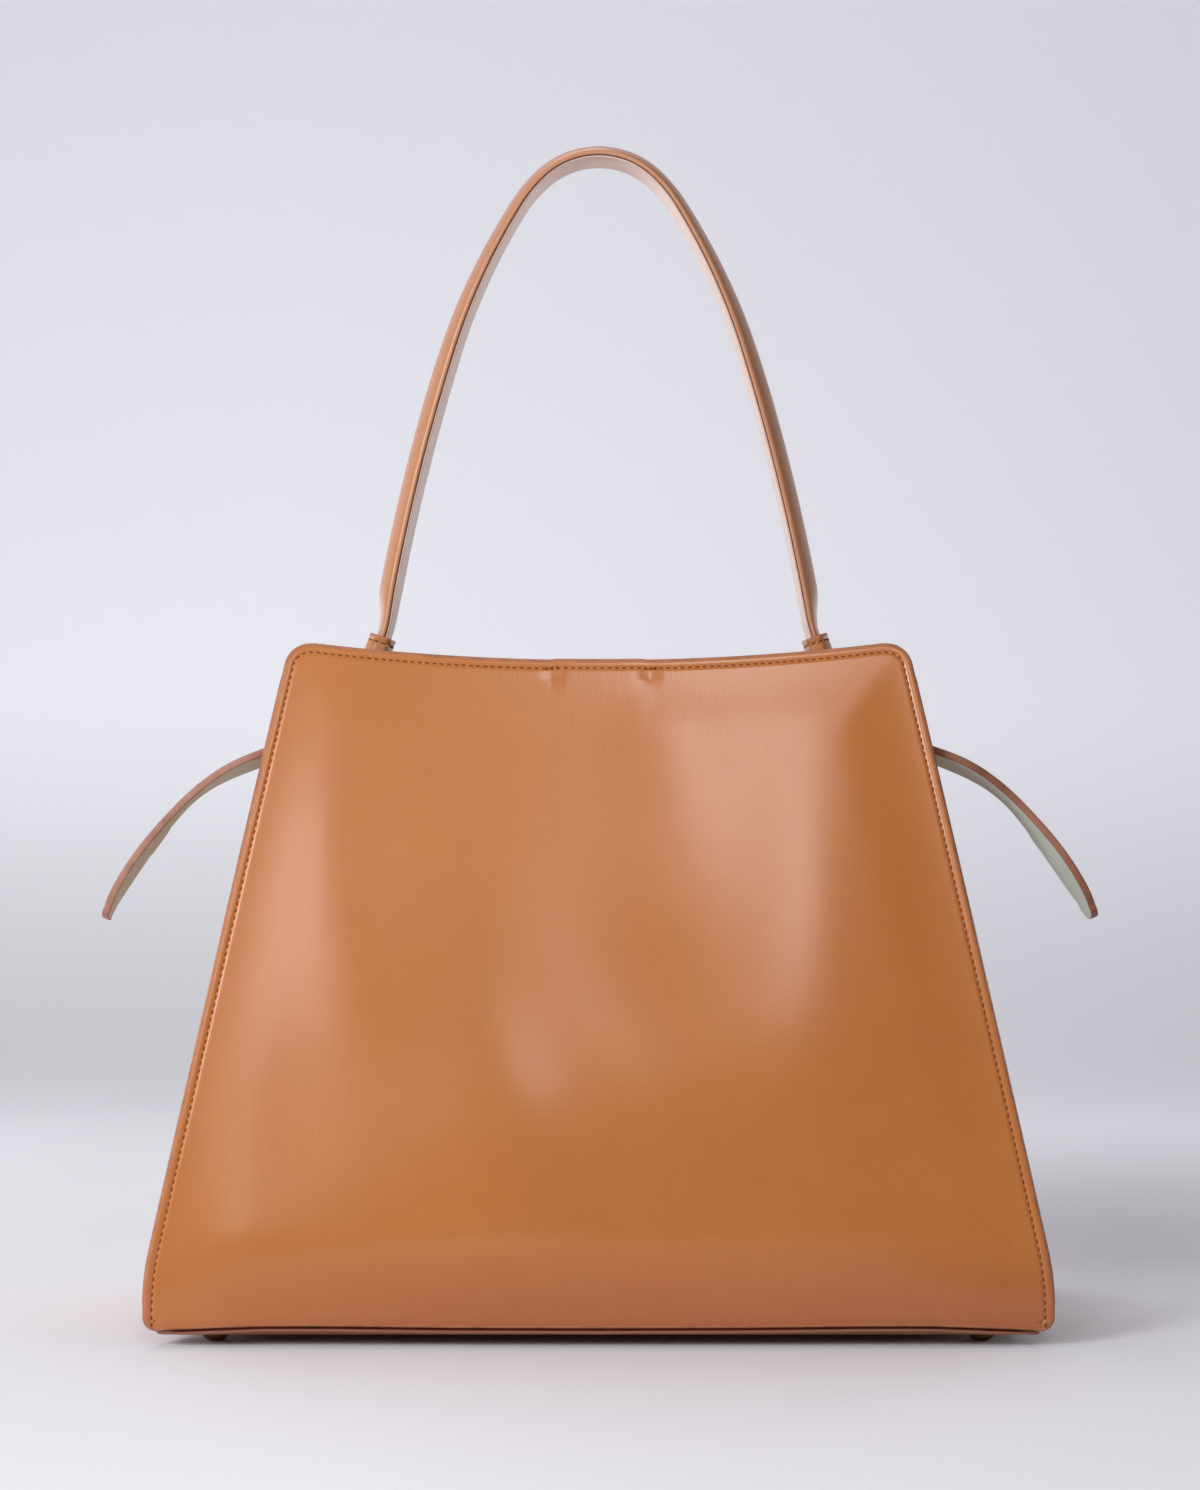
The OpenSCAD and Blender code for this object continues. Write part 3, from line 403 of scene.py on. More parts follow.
def stitches(path, ups, inner, pitch=3.1, size=1.0, slant=14, painted_highlights=True, lift=0.0):
    """Stitches along a path: dark slanted thread in its holes, and between them a raised bulge of leather whose pale
    colour is a painted highlight.
    """
    path, ups, inner = (np.asarray(v, float) for v in (path, ups, inner))
    steps = np.linalg.norm(np.diff(path, axis=0), axis=1)
    run = np.concatenate([[0], np.cumsum(steps)])
    count = max(int(run[-1] / pitch), 1)
    parts = {0: ([], []), 1: ([], [])}

    def at(values, s):
        return np.array([np.interp(s, run, values[:, k]) for k in range(3)])

    def keep(kind, blob_made):
        pts, faces = blob_made
        n = len(parts[kind][0])
        parts[kind][0].extend(pts)
        parts[kind][1].extend([[i + n for i in f] for f in faces])

    for k in range(count):
        s = (k + 0.5) * run[-1] / count + rng.normal(0, 0.07)
        p, up, inn = at(path, s), unit(at(ups, s)), at(inner, s)
        tangent = unit(at(path, min(s + 0.6, run[-1])) - at(path, max(s - 0.6, 0)))
        inn = unit(inn - tangent * np.dot(inn, tangent) - up * np.dot(inn, up))
        a = (slant + rng.normal(0, 3)) * RAD
        along = tangent * math.cos(a) + inn * math.sin(a)
        across = inn * math.cos(a) - tangent * math.sin(a)
        keep(0, blob(p + up * (0.04 + lift), along, across, up,
                     1.0 * size * (1 + rng.normal(0, 0.06)), 0.42 * size, 0.24 * size))
        # The raised bulges between stitches, in the pale colour that paints their highlight.
        if painted_highlights:
            q = p + tangent * pitch * 0.5 + inn * 0.48 * size
            keep(1, blob(q + up * (0.02 + lift), tangent * math.cos(0.5) - inn * math.sin(0.5),
                         inn * math.cos(0.5) + tangent * math.sin(0.5), up,
                         0.75 * size, 0.42 * size * (1 + rng.normal(0, 0.1)), 0.3 * size))
    made = [(parts[0][0], parts[0][1], THREAD_DARK)]
    if painted_highlights:
        made.append((parts[1][0], parts[1][1], STITCH_BULGE_HIGHLIGHT))
    return made


# ---------------------------------------------------------------- panels
DIP_HALF = float(side_x(BODY_H)) - HIGH_R
DIP_R = (DIP_HALF ** 2 + TOP_DIP ** 2) / (2 * TOP_DIP)
HIGH_Z = BODY_H - HIGH_R
HIGH_X = float(side_x(HIGH_Z)) - HIGH_R / math.cos(LEAN)
TIGHT_R = 6.2
LOW_X, LOW_Z = BODY_W / 2 - TIGHT_R, SEAM_Z + TIGHT_R


def top_z(x, d=0.0):
    """Height of the dipped top edge, inside it by d; flat where the closure is sewn."""
    x = np.asarray(x, float)
    dip = BODY_H - TOP_DIP + DIP_R - np.sqrt((DIP_R + d) ** 2 - np.minimum(np.abs(x), DIP_HALF + 5) ** 2)
    return dip + 0.45 * (1 - smooth(17, 21, np.abs(x)))


def seam_shift(x):
    """How far the bottom seam waves from its height: it drops at the corners."""
    return np.interp(np.abs(x), [0, 60, 110, 138, 160, 172, 180, 188], [-0.5, -0.3, 0.3, 0.3, -0.5, -1.2, -1.7, -1.9])


def arc(cx, cz, r, a, b, n):
    t = np.linspace(a, b, n + 1) * RAD
    return np.stack([cx + r * np.cos(t), cz + r * np.sin(t)], 1)


N_LINE, N_SIDE = 96, 62


def outline(d):
    """Bottom, right, top and left runs of the panel's outline, inside its edge by d, corner middle to middle."""
    low, high = max(TIGHT_R - d, 0.4), HIGH_R - d
    low_x, low_z = BODY_W / 2 - d - low, SEAM_Z + d + low
    bottom_half = arc(low_x, low_z, low, -90, -45, 4)
    belly = arc(BODY_W / 2 - BELLY_R, WIDEST_Z, BELLY_R - d, 0, LEAN / RAD, 10)
    corner = arc(HIGH_X, HIGH_Z, high, LEAN / RAD, 51, 5)
    line = np.linspace(belly[-1], corner[0], N_SIDE + 1)
    right = np.vstack([arc(low_x, low_z, low, -45, 0, 4), belly, line[1:], corner[1:]])
    xs = np.linspace(-low_x, low_x, N_LINE + 1)
    base = np.stack([xs, np.full_like(xs, SEAM_Z + d)], 1)
    mirror = [-1, 1]
    bottom = np.vstack([bottom_half[::-1] * mirror, base[1:-1], bottom_half])
    crest = arc(HIGH_X, HIGH_Z, high, 51, 84, 4)
    xt = np.linspace(HIGH_X - 2, -HIGH_X + 2, N_LINE - 1)
    dip = np.stack([xt, top_z(xt, d)], 1)
    top = np.vstack([crest, dip, crest[::-1] * mirror])
    left = right[::-1] * mirror
    return bottom, right, top, left


def ring(d):
    bottom, right, top, left = outline(d)
    return np.vstack([bottom[:-1], right[:-1], top[:-1], left[:-1]])


def coons(d):
    bottom, right, top, left = outline(d)
    top, left = top[::-1], left[::-1]
    u = ((bottom[:, 0] / bottom[-1, 0] + top[:, 0] / top[-1, 0]) / 4 + 0.5)[None, :, None]
    v = ((right[:, 1] - right[0, 1]) / (right[-1, 1] - right[0, 1]))[:, None, None]
    corners = ((1 - u) * (1 - v) * bottom[0] + u * (1 - v) * bottom[-1] + (1 - u) * v * top[0] + u * v * top[-1])
    return (1 - v) * bottom[None] + v * top[None] + (1 - u) * left[:, None] + u * right[:, None] - corners


def edge_distance(x, z):
    """Distance inside the side and top edges."""
    x = np.abs(x)
    side = (side_x(np.maximum(z, WIDEST_Z)) - x) * math.cos(LEAN)
    low = (x > LOW_X) & (z < LOW_Z)
    side = np.where(low, TIGHT_R - np.hypot(x - LOW_X, LOW_Z - z), side)
    d = np.minimum(side, top_z(x) - z)
    high = (x > HIGH_X) & (z > HIGH_Z)
    return np.where(high, HIGH_R - np.hypot(x - HIGH_X, z - HIGH_Z), d)


# Soft swells and hollows of the front: middle x and z, reach both ways, turn in radians, height
SWELLS = [
    (-107, 169, 25, 63, 0.09, 1.41),
    (-108, 209, 130, 76, 1.14, -1.19),
    (-8, 106, 80, 34, 0.17, 1.65),
    (29, 271, 79, 26, -1.37, 1.19),
    (-15, 105, 22, 50, 0.45, -1.13),
    (27, 98, 108, 147, -0.07, 2.01),
    (-2, 96, 85, 150, 0.54, 2.12),
    (9, 130, 36, 64, 0.37, -2.45),
    (-132, 25, 42, 146, -1.24, 2.89),
    (93, 167, 35, 126, -0.00, 2.28),
]


def relief(x, z, flip):
    """How far the leather stands proud of the CAD face: flat border, sunk stitch line, swells and hollows."""
    d, up = edge_distance(x, z), z - SEAM_Z
    h = -0.3 + 0.14 * bump(d, 2.0, 0.9)
    h = h - 0.38 * bump(d, 3.9, 0.5)
    h = h + 0.2 * smooth(3.9, 5.4, d) + 0.8 * smooth(5.4, 34, d)
    h = h - 0.8 * (1 - smooth(0, 18, up)) - 0.6 * (1 - smooth(0.3, 4.5, up))
    x = x * flip
    soft = 0
    for x0, z0, wide, tall, turn, high in SWELLS:
        a = (x - x0) * math.cos(turn) + (z - z0) * math.sin(turn)
        b = (z - z0) * math.cos(turn) - (x - x0) * math.sin(turn)
        soft = soft + high * np.exp(-(a / wide) ** 2 - (b / tall) ** 2)
    h = h + smooth(2, 40, d) * smooth(2, 40, up) * soft
    for middle in (-19.8, 21.9):
        h = h - 0.5 * bump(np.hypot(x - middle, (z - 276.6) * 0.8), 0, 2.6)
        h = h + 0.22 * bump(np.hypot(x - middle + 1.5, (z - 273) * 0.5), 0, 2.2)
    return h + 0.25 * (1 - smooth(15, 20, np.abs(x))) * bump(z, 277, 5)


def panel_points(xz, depth, flip, face):
    """Points at a depth below the leather's own face. face is -1 in front and 1 behind."""
    x, z = xz[..., 0], xz[..., 1]
    y = front_y(z) - relief(x, z, flip) + depth
    z = z + seam_shift(x) * (1 - smooth(10, 45, z))
    return np.stack([x, -face * y, z], -1)


def panel(name, face, flip):
    front = face < 0
    middle = coons(8.0)
    rows, cols = middle.shape[:2]
    parts = [(panel_points(middle, 0, flip, face), quads(rows, cols, flip=not front), TAN)]
    rim_deep, rim_wide = 1.3, 1.35
    rings = []
    for d in (8.0, 7.2, 6.5, 5.9, 5.4, 5.0, 4.6, 4.3, 4.05, 3.8, 3.55, 3.2, 2.7, 2.2, 1.8, rim_wide):
        rings.append(panel_points(ring(d), 0, flip, face))
    parts.append(loft(rings, TAN, caps=False, flip=front))
    edge = []
    for a in np.linspace(90, 0, 7):
        d = rim_wide * (1 - math.cos(a * RAD))
        edge.append(panel_points(ring(d), rim_deep * (1 - math.sin(a * RAD)), flip, face))
    outer = ring(0)
    thick = 1.75 + 2.45 * smooth(279, 282.5, outer[:, 1])
    for share, d in ((0.6, 0.03), (0.9, 0.2), (1.0, 0.7), (1.0, 1.6)):
        edge.append(panel_points(ring(d), rim_deep + (thick - rim_deep) * share, flip, face))
    edge.append(panel_points(ring(2.2), 1.75, flip, face))
    parts.append(loft(edge, EDGE, caps=False, flip=front))
    parts.append(loft([panel_points(ring(d), 1.75, flip, face) for d in (2.2, 8.0)], DARK, caps=False, flip=front))
    parts.append((panel_points(middle, 1.75, flip, face), quads(rows, cols, flip=front), DARK))
    return piece(name, parts, "bag", "leather_tan", "front_panel" if front else "back_panel")


def panel_stitching(name, face, flip):
    runs = []
    for d in (3.9, 4.9):
        bottom, right, top, left = outline(d)
        up = [[-BODY_W / 2 + d, z] for z in np.linspace(9.4, WIDEST_Z - 0.5, 5)]
        down = [[-x, z] for x, z in up[::-1]]
        runs.append(np.vstack([up, left[::-1][5:], top[::-1][1:-1], right[::-1][:-5], down]))
    pts, inside = (panel_points(run, 0, flip, face) for run in runs)
    ups = np.tile([0, face, 0.2], (len(pts), 1))
    made = stitches(pts, ups, inside - pts, slant=12)
    for middle in (-19.8, 21.9):
        xs = np.linspace(middle - 3.4, middle + 3.4, 9)
        for drop, slant in ((0.45, -16), (-0.35, 30)):
            tack = panel_points(np.stack([xs * flip, top_z(xs, 3.9) - drop], 1), 0, flip, face)
            made += stitches(tack, np.tile([0, face, 0.2], (9, 1)), np.tile([0, 0, -1], (9, 1)), pitch=2.2,
                             size=0.72, slant=slant, painted_highlights=False)
    return piece(name, made, "bag", "leather_tan")


panel("front_panel_leather", -1, 1)
panel("back_panel_leather", 1, -1)
panel_stitching("front_border_stitching", -1, 1)
panel_stitching("back_border_stitching", 1, -1)


# ---------------------------------------------------------------- gussets
STRIP_FACE = LOAD_T / 2 + GLUE + GUSSET_T
GUSSET_LOW = SEAM_Z + GLUE
STRIP_LOW_X = float(side_x(GUSSET_LOW)) - FLANGE_W
STRIP_LEAN = math.atan((STRIP_LOW_X - STRIP_FACE - RIVET[0]) / (RIVET[1] - GUSSET_LOW))


def strip_x(z):
    return RIVET[0] + STRIP_FACE / math.cos(STRIP_LEAN) + (RIVET[1] - z) * math.tan(STRIP_LEAN)


def rounded_plan(points, radii, n=7):
    """An open line through points with its inner corners rounded."""
    out = [points[0]]
    for i in range(1, len(points) - 1):
        p, a, b = points[i], unit(points[i - 1] - points[i]), unit(points[i + 1] - points[i])
        r = min(radii[i - 1], 0.45 * np.linalg.norm(points[i - 1] - p), 0.45 * np.linalg.norm(points[i + 1] - p))
        for t in np.linspace(0, 1, n):
            out.append((1 - t) ** 2 * (p + a * r) + 2 * t * (1 - t) * p + t * t * (p + b * r))
    out.append(points[-1])
    return np.array(out)


def even(points, n):
    run = np.concatenate([[0], np.cumsum(np.linalg.norm(np.diff(points, axis=0), axis=1))])
    s = np.linspace(0, run[-1], n)
    return np.stack([np.interp(s, run, points[:, k]) for k in range(points.shape[1])], 1)


def gusset_plan(z, depth=0.0, radius=3.2):
    """The gusset's outer face at a height, from the front flange round to the back one."""
    y = float(front_y(z, PANEL_T + GLUE + GUSSET_T)) + depth
    edge = float(side_x(z))
    x = strip_x(z) - depth / math.cos(STRIP_LEAN)
    fold = edge - FLANGE_W - depth
    walls = [[edge - FLANGE_EDGE - depth, y], [fold, y], [x, -CREASE_GAP / 2], [x, CREASE_GAP / 2],
             [fold, -y], [edge - FLANGE_EDGE - depth, -y]]
    line = rounded_plan(np.array(walls), [2.6, radius, radius, 2.6])
    return even(line, 61)


def gusset_grid(side, depth=0.0, low=GUSSET_LOW, rows=56):
    top = np.array([FLANGE_TOP if abs(u) > 0.86 else STRIP_TOP + (FLANGE_TOP - STRIP_TOP)
                    * float(smooth(0.2, 0.86, abs(u))) for u in np.linspace(-1, 1, 61)])
    grid = np.zeros((rows, 61, 3))
    for i in range(rows):
        v = (i / (rows - 1)) ** 1.25
        for c in range(61):
            z = low + (top[c] - low) * v
            grid[i, c, 2] = z
    heights = np.linspace(low, FLANGE_TOP, 90)
    plans = np.array([gusset_plan(z, depth) for z in heights])
    for c in range(61):
        for k in (0, 1):
            grid[:, c, k] = np.interp(grid[:, c, 2], heights, plans[:, c, k])
    u = np.abs(np.linspace(-1, 1, 61))[None, :]
    z = grid[..., 2]
    pull = 0.9 * bump(u, 0.5, 0.16) * smooth(20, 90, z) * (1 - smooth(210, 270, z))
    wave = 0.35 * np.sin(z / 19 + 3 * u) * bump(u, 0.48, 0.2) * smooth(20, 70, z)
    grid[..., 0] -= pull + wave
    grid[..., 0] *= side
    return grid if side > 0 else grid[:, ::-1]


def strip_frame(side):
    """Origin at the rivet, out of the strip's face, along Y, and up the strip."""
    c, s = math.cos(STRIP_LEAN), math.sin(STRIP_LEAN)
    return (np.array([side * RIVET[0], 0, RIVET[1]]), np.array([side * c, 0, s]), np.array([0, 1.0, 0]),
            np.array([-side * s, 0, c]))


def plate(corners, low, high, frame_at, round_r=1.2):
    """A flat piece in a frame: an outline across Y and up Z, between two depths along X, softened at its rims."""
    o, ex, ey, ez = frame_at
    line = np.array(corners, float)
    middle = line.mean(0)
    rings = []
    t = high - low
    for share, inset in ((0.0, 0.5), (0.12, 0.12), (0.5, 0.0), (0.88, 0.12), (1.0, 0.5)):
        pulled = line - unit(line - middle) * inset * min(round_r, t)
        rings.append([o + ex * (low + t * share) + ey * y + ez * z for y, z in pulled])
    return rings


def rounded_rectangle(w, h, r, n=5, centre=(0, 0)):
    pts = []
    for cx, cy, a in ((w / 2 - r, h / 2 - r, 0), (-w / 2 + r, h / 2 - r, 90),
                      (-w / 2 + r, -h / 2 + r, 180), (w / 2 - r, -h / 2 + r, 270)):
        for t in np.linspace(a, a + 90, n + 1):
            pts.append([centre[0] + cx + r * math.cos(t * RAD), centre[1] + cy + r * math.sin(t * RAD)])
    return pts


def down_strip(z):
    return (RIVET[1] - z) / math.cos(STRIP_LEAN)


ROOT_Z = BODY_H - 35
for side, word in ((-1, "left"), (1, "right")):
    grid = gusset_grid(side)
    piece(f"{word}_gusset_leather", shell(grid, GUSSET_T, TAN, DARK, EDGE), "bag", "leather_tan", f"{word}_gusset")
    depth = STRIP_FACE + LOAD_T / 2 + GLUE
    lining = gusset_grid(side, depth, low=10.5, rows=40)[:, 4:-4]
    lining[..., 1] = np.clip(lining[..., 1], front_y(lining[..., 2], INNER + PLAY), -front_y(lining[..., 2], INNER + PLAY))
    piece(f"{word}_gusset_lining_cloth", shell(lining, LINING_T, SAGE, SAGE, SAGE), "bag", "lining_sage",
          f"{word}_gusset_lining")
    at = strip_frame(side)
    wide, neck = CREASE_GAP / 2 - 1, 5.0
    high, low = down_strip(STRIP_TOP) + 1, down_strip(ROOT_Z) + MAGNET_REACH + 13
    shape = [[-wide, -low], [wide, -low], [wide, -high], [neck, 5 - high], [neck, 0]]
    shape += [[neck * math.cos(a * RAD), neck * math.sin(a * RAD)] for a in range(20, 180, 20)]
    shape += [[-neck, 0], [-neck, 5 - high], [-wide, -high]]
    rings = plate(shape, -LOAD_T / 2, LOAD_T / 2, at, 0.6)
    piece(f"{word}_load_strip", [loft(rings, DARK, flip=side < 0)], "bag", "leather_dark", f"{word}_handle_tab")
    top = -down_strip(ROOT_Z) - 4.5
    patch = rounded_rectangle(22, 9, 2, centre=(0, top - 4.5))
    rings = plate(patch, STRIP_FACE + GLUE, STRIP_FACE + GLUE + 1.3, at, 0.8)
    parts = [loft(rings, TAN_PATCH, flip=side < 0)]
    box_line = np.array(rounded_rectangle(18.4, 5.6, 1, 3, (0, top - 4.5)) + [[9.2, top - 3]])
    o, ex, ey, ez = at
    path = np.array([o + ex * (STRIP_FACE + GLUE + 1.32) + ey * y + ez * z for y, z in box_line])
    middle = o + ex * (STRIP_FACE + 1.4) + ez * (top - 4.5)
    parts += stitches(path, np.tile(ex, (len(path), 1)), middle - path, pitch=2.6, size=0.75, slant=0, painted_highlights=False)
    piece(f"{word}_wing_patch", parts, "bag", "leather_tan", f"{word}_wing_anchor")


# ---------------------------------------------------------------- linings and bottom
def panel_lining(name, face, node):
    n_u, n_v = 61, 45
    u = np.linspace(-1, 1, n_u)[None, :]
    v = np.linspace(0, 1, n_v)[:, None]
    low = SEAM_Z + 2.6
    inset = 13.5
    xt = u * (side_x(BODY_H) - inset)
    zt = top_z(xt) - 0.9
    z = low + v * (zt - low)
    x = u * (side_x(z) - inset)
    z = z + 0 * x
    soft = 0.35 * np.sin(x / 23 + z / 31) * np.sin(z / 27) * (1 - np.abs(u)) * np.sin(math.pi * v)
    y = front_y(z, INNER) + soft + 0.15
    grid = np.stack([x, -face * y, z], -1)
    if face > 0:
        grid = grid[:, ::-1]
    return piece(name, shell(grid[:, ::-1], LINING_T, SAGE, SAGE, EDGE), "bag", "lining_sage", node)


panel_lining("front_lining_cloth", -1, "front_lining")
panel_lining("back_lining_cloth", 1, "back_lining")


def flat_sheet(half_x, half_y, r, z, t, mat, rim_mat, sag=0.0, rows=25):
    """A soft flat piece built as rings from its rim to its middle, with rounded corners."""
    rings = []
    def level(share, height):
        pts = np.array(rounded_rectangle(2 * half_x * share, 2 * half_y * share, max(r * share, 0.4), 6))
        drop = sag * (1 - (pts[:, 0] / half_x) ** 2) * (1 - (pts[:, 1] / half_y) ** 2)
        return np.column_stack([pts, height - drop])
    shares = np.linspace(0.02, 0.97, rows)
    for s in shares:
        rings.append(level(s, z))
    rim_from = len(rings)
    for s, h in ((0.985, 0.0), (0.996, 0.15), (1.0, 0.5), (0.996, 0.85), (0.985, 1.0)):
        rings.append(level(s, z + h * t))
    for s in shares[::-1]:
        rings.append(level(s, z + t))
    rings = [list(q) for q in rings]
    return [loft(rings, mat, caps=True, flip=True)]


piece("bottom_leather", flat_sheet(STRIP_LOW_X - WELT_D + 0.2, BASE_D / 2 - WELT_D + 0.2, 9, BASE_Z, BASE_T, DARK, EDGE, 0.25),
      "bag", "leather_dark", "base_panel")
board_lo, board_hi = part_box("base_lining")
piece("bottom_lining_cloth", flat_sheet(board_hi[0] / MM, board_hi[1] / MM, 6, board_lo[2] / MM, LINING_T, SAGE, SAGE, -0.3),
      "bag", "lining_sage", "base_lining")


def welt_path(inset, n=40):
    """The seam's run round the bottom, as points and outward directions."""
    half_x, half_y = STRIP_LOW_X + 4.2 - inset, BASE_D / 2 - inset
    pts = np.array(rounded_rectangle(2 * half_x, 2 * half_y, 7 - inset, 8))
    line = []
    for i in range(len(pts)):
        a, b = pts[i], pts[(i + 1) % len(pts)]
        steps = max(int(np.linalg.norm(b - a) / 5), 1)
        for k in range(steps):
            line.append(a + (b - a) * k / steps)
    line = np.array(line)
    far = smooth(half_y - 18, half_y - 6, np.abs(line[:, 1])) * smooth(half_x - 30, half_x - 2, np.abs(line[:, 0]))
    line[:, 0] += np.sign(line[:, 0]) * 5.8 * far
    ahead, behind = np.roll(line, -1, 0), np.roll(line, 1, 0)
    tangent = unit(ahead - behind)
    return line, np.stack([tangent[:, 1], -tangent[:, 0]], 1)


line, outward = welt_path(WELT_D / 2)
rings = []
ends = 1 - smooth(0, 14, STRIP_LOW_X + 3 - np.abs(line[:, 0]))
shift = seam_shift(line[:, 0]) * smooth(BASE_D / 2 - 26, BASE_D / 2 - 8, np.abs(line[:, 1]))
for a in np.linspace(0, 360, 17)[:-1]:
    r = WELT_D / 2
    fat = r * (1.0 - 0.45 * ends)
    off = fat * math.cos(a * RAD)
    up = fat * math.sin(a * RAD) * 0.62 + (r - fat) * 0.8 + 0.33
    rings.append(np.column_stack([line + outward * off[:, None], BASE_Z + r + up + shift]))
rings = np.array(rings).transpose(1, 0, 2)
closed = np.vstack([rings, rings[:1]])
# The piping, in its darkened leather (painted shade).
parts = [loft(list(closed), PIPING_PAINTED_SHADE, caps=False)]
# A thin near-black ring just above the piping, under the panel's bottom edge: a painted shadow.
rings = []
for a in np.linspace(0, 360, 9)[:-1]:
    fat = 0.5 * (1.0 - 0.45 * ends)
    z = BASE_Z + WELT_D / 2 * 1.62 + 0.36 + 0.36 * WELT_D / 2 * ends + shift
    rings.append(np.column_stack([line + outward * (0.45 + fat * math.cos(a * RAD))[:, None], z + fat * math.sin(a * RAD)]))
rings = np.array(rings).transpose(1, 0, 2)
parts.append(loft(list(np.vstack([rings, rings[:1]])), SEAM_PAINTED_SHADOW, caps=False))
piece("bottom_piping", parts, "bag", "leather_tan", "base_welt")


# ---------------------------------------------------------------- strap
def arc_end(state, r, turn):
    x, z, a = state
    b = a + turn
    r = r * (1 if turn >= 0 else -1)
    return (x + r * (math.sin(b * RAD) - math.sin(a * RAD)), z + r * (math.cos(b * RAD) - math.cos(a * RAD)), b)


def along_arcs(state, arcs, s):
    for r, turn in arcs:
        length = r * abs(turn) * RAD
        if s <= length:
            return arc_end(state, r, turn * s / length)
        state, s = arc_end(state, r, turn), s - length
    x, z, a = state
    return (x + s * math.cos(a * RAD), z - s * math.sin(a * RAD), a)


STRAP_L = sum(r * abs(t) * RAD for r, t in STRAP_ARCS)
IN_COLLAR = 8.0


def strap_rows():
    """Frames along the whole strap from the left end over the top: (side, x, z, slope, twist, run from the top)."""
    half = np.concatenate([np.linspace(0, 60, 26), np.linspace(60, STRAP_L - 30, 60)[1:],
                           np.linspace(STRAP_L - 30, STRAP_L + IN_COLLAR, 22)[1:]])
    rows = []
    for s in half:
        state = along_arcs((0, STRAP_TOP, 0), STRAP_ARCS, s)
        rows.append((s, state))
    out = []
    for s, (x, z, a) in rows[:0:-1]:
        out.append((-1, x, z, a, 1.8 * float(smooth(40, 170, s) * (1 - smooth(STRAP_L - 25, STRAP_L, s))), -s))
    for s, (x, z, a) in rows:
        out.append((1, x, z, a, -0.6 * float(smooth(40, 170, s) * (1 - smooth(STRAP_L - 25, STRAP_L, s))), s))
    return out


def swept(profile):
    """Rings of a profile of (height above the seam, y) along the strap."""
    rings = []
    for side, x, z, a, twist, s in strap_rows():
        ct, st = math.cos(twist * RAD), math.sin(twist * RAD)
        s = abs(s)
        full = (1.1 + 0.58 * float(smooth(30, 140, s))) * (1 - 0.6 * float(smooth(STRAP_L - 22, STRAP_L - 1, s)))
        ring_points = []
        for h, y in profile:
            h = h if h < EDGE_T else EDGE_T + (h - EDGE_T) * full
            hh, yy = h * ct - y * st, y * ct + h * st
            ring_points.append([side * (x + hh * math.sin(a * RAD)), yy, z + hh * math.cos(a * RAD)])
        rings.append(ring_points)
    return rings


CROWN_R = ((STRAP_W / 2) ** 2 + (CROWN - EDGE_T) ** 2) / (2 * (CROWN - EDGE_T))


def crown_profile():
    """The outer leather: a full crown that turns down into narrow edges and tucks in at the seam."""
    half = STRAP_W / 2
    right = [(0.02, half - 1.6), (-0.1, half - 0.9), (-0.25, half - 0.42), (-0.2, half - 0.14), (0.3, half), (0.85, half),
             (1.25, half - 0.08), (1.62, half - 0.4)]
    for y in np.linspace(half - 1.0, 0, 14):
        lift = CROWN - CROWN_R + math.sqrt(CROWN_R ** 2 - y * y)
        right.append((lift + 0.12 * math.sin(math.pi * y / half), y))
    left = [(h, -y) for h, y in right[-2::-1]]
    base = [(0.02, y) for y in np.linspace(-half + 3, half - 3, 5)]
    return left[::1] and right[::-1][::-1] + left + base


profile = crown_profile()
rings = swept(profile)
piece("strap_outer_leather", [loft(rings, TAN_FACE, flip=True)], "handle", "leather_tan", "handle_strap")
half = STRAP_W / 2
low, top_h = -STRAP_LINING_T, -0.06
profile = [(top_h, half - 1.4), (top_h, half - 0.95), (top_h - 0.3, half - 0.75), (top_h - 0.7, half - 0.6),
           (low + 0.45, half - 0.5), (low + 0.12, half - 0.7), (low, half - 1.2)]
profile += [(low - 0.12 * math.sin(math.pi * (y + half) / (2 * half)), y) for y in np.linspace(half - 1.6, -half + 1.6, 12)]
profile += [(h, -y) for h, y in profile[6::-1]]
piece("strap_inner_leather", [loft(swept(profile), BLUSH, flip=True)], "handle", "strap_lining", "handle_lining")
core = [(0.35, 10.6), (0.8, 10.9)] + [(3.0 - 2.3 * (y / 11.2) ** 2, y) for y in np.linspace(10.2, -10.2, 11)]
core += [(0.8, -10.9), (0.35, -10.6)]
piece("strap_filler", [loft(swept(core), KRAFT, flip=True)], "handle", "filler", "handle_core")


def strap_run(h, y, trim=14):
    """A line along the strap at a height above the seam and a place across it."""
    return np.array(swept([(h, y)]))[:, 0][trim:-trim]


parts = []
for y in (-14.2, 14.2):
    path = strap_run(-0.45, y)
    out = path - strap_run(-0.45, 0)
    tick = stitches(path, out, strap_run(1, y) - path, pitch=3.1, size=0.5, slant=18, painted_highlights=False)
    parts += [(tick[0][0], tick[0][1], SEAM)]
    groove = [(-0.12, 0.2), (-0.3, 0.26), (-0.62, 0.2), (-0.7, -0.1), (-0.4, -0.3), (-0.1, -0.1)]
    parts.append(loft(swept([(h, y + (k if y > 0 else -k) - (0.2 if y > 0 else -0.2)) for h, k in groove]), SEAM, flip=y < 0))
piece("strap_stitching", parts, "handle", "strap_lining")


# ---------------------------------------------------------------- collars
END = along_arcs((0, STRAP_TOP, 0), STRAP_ARCS, STRAP_L)


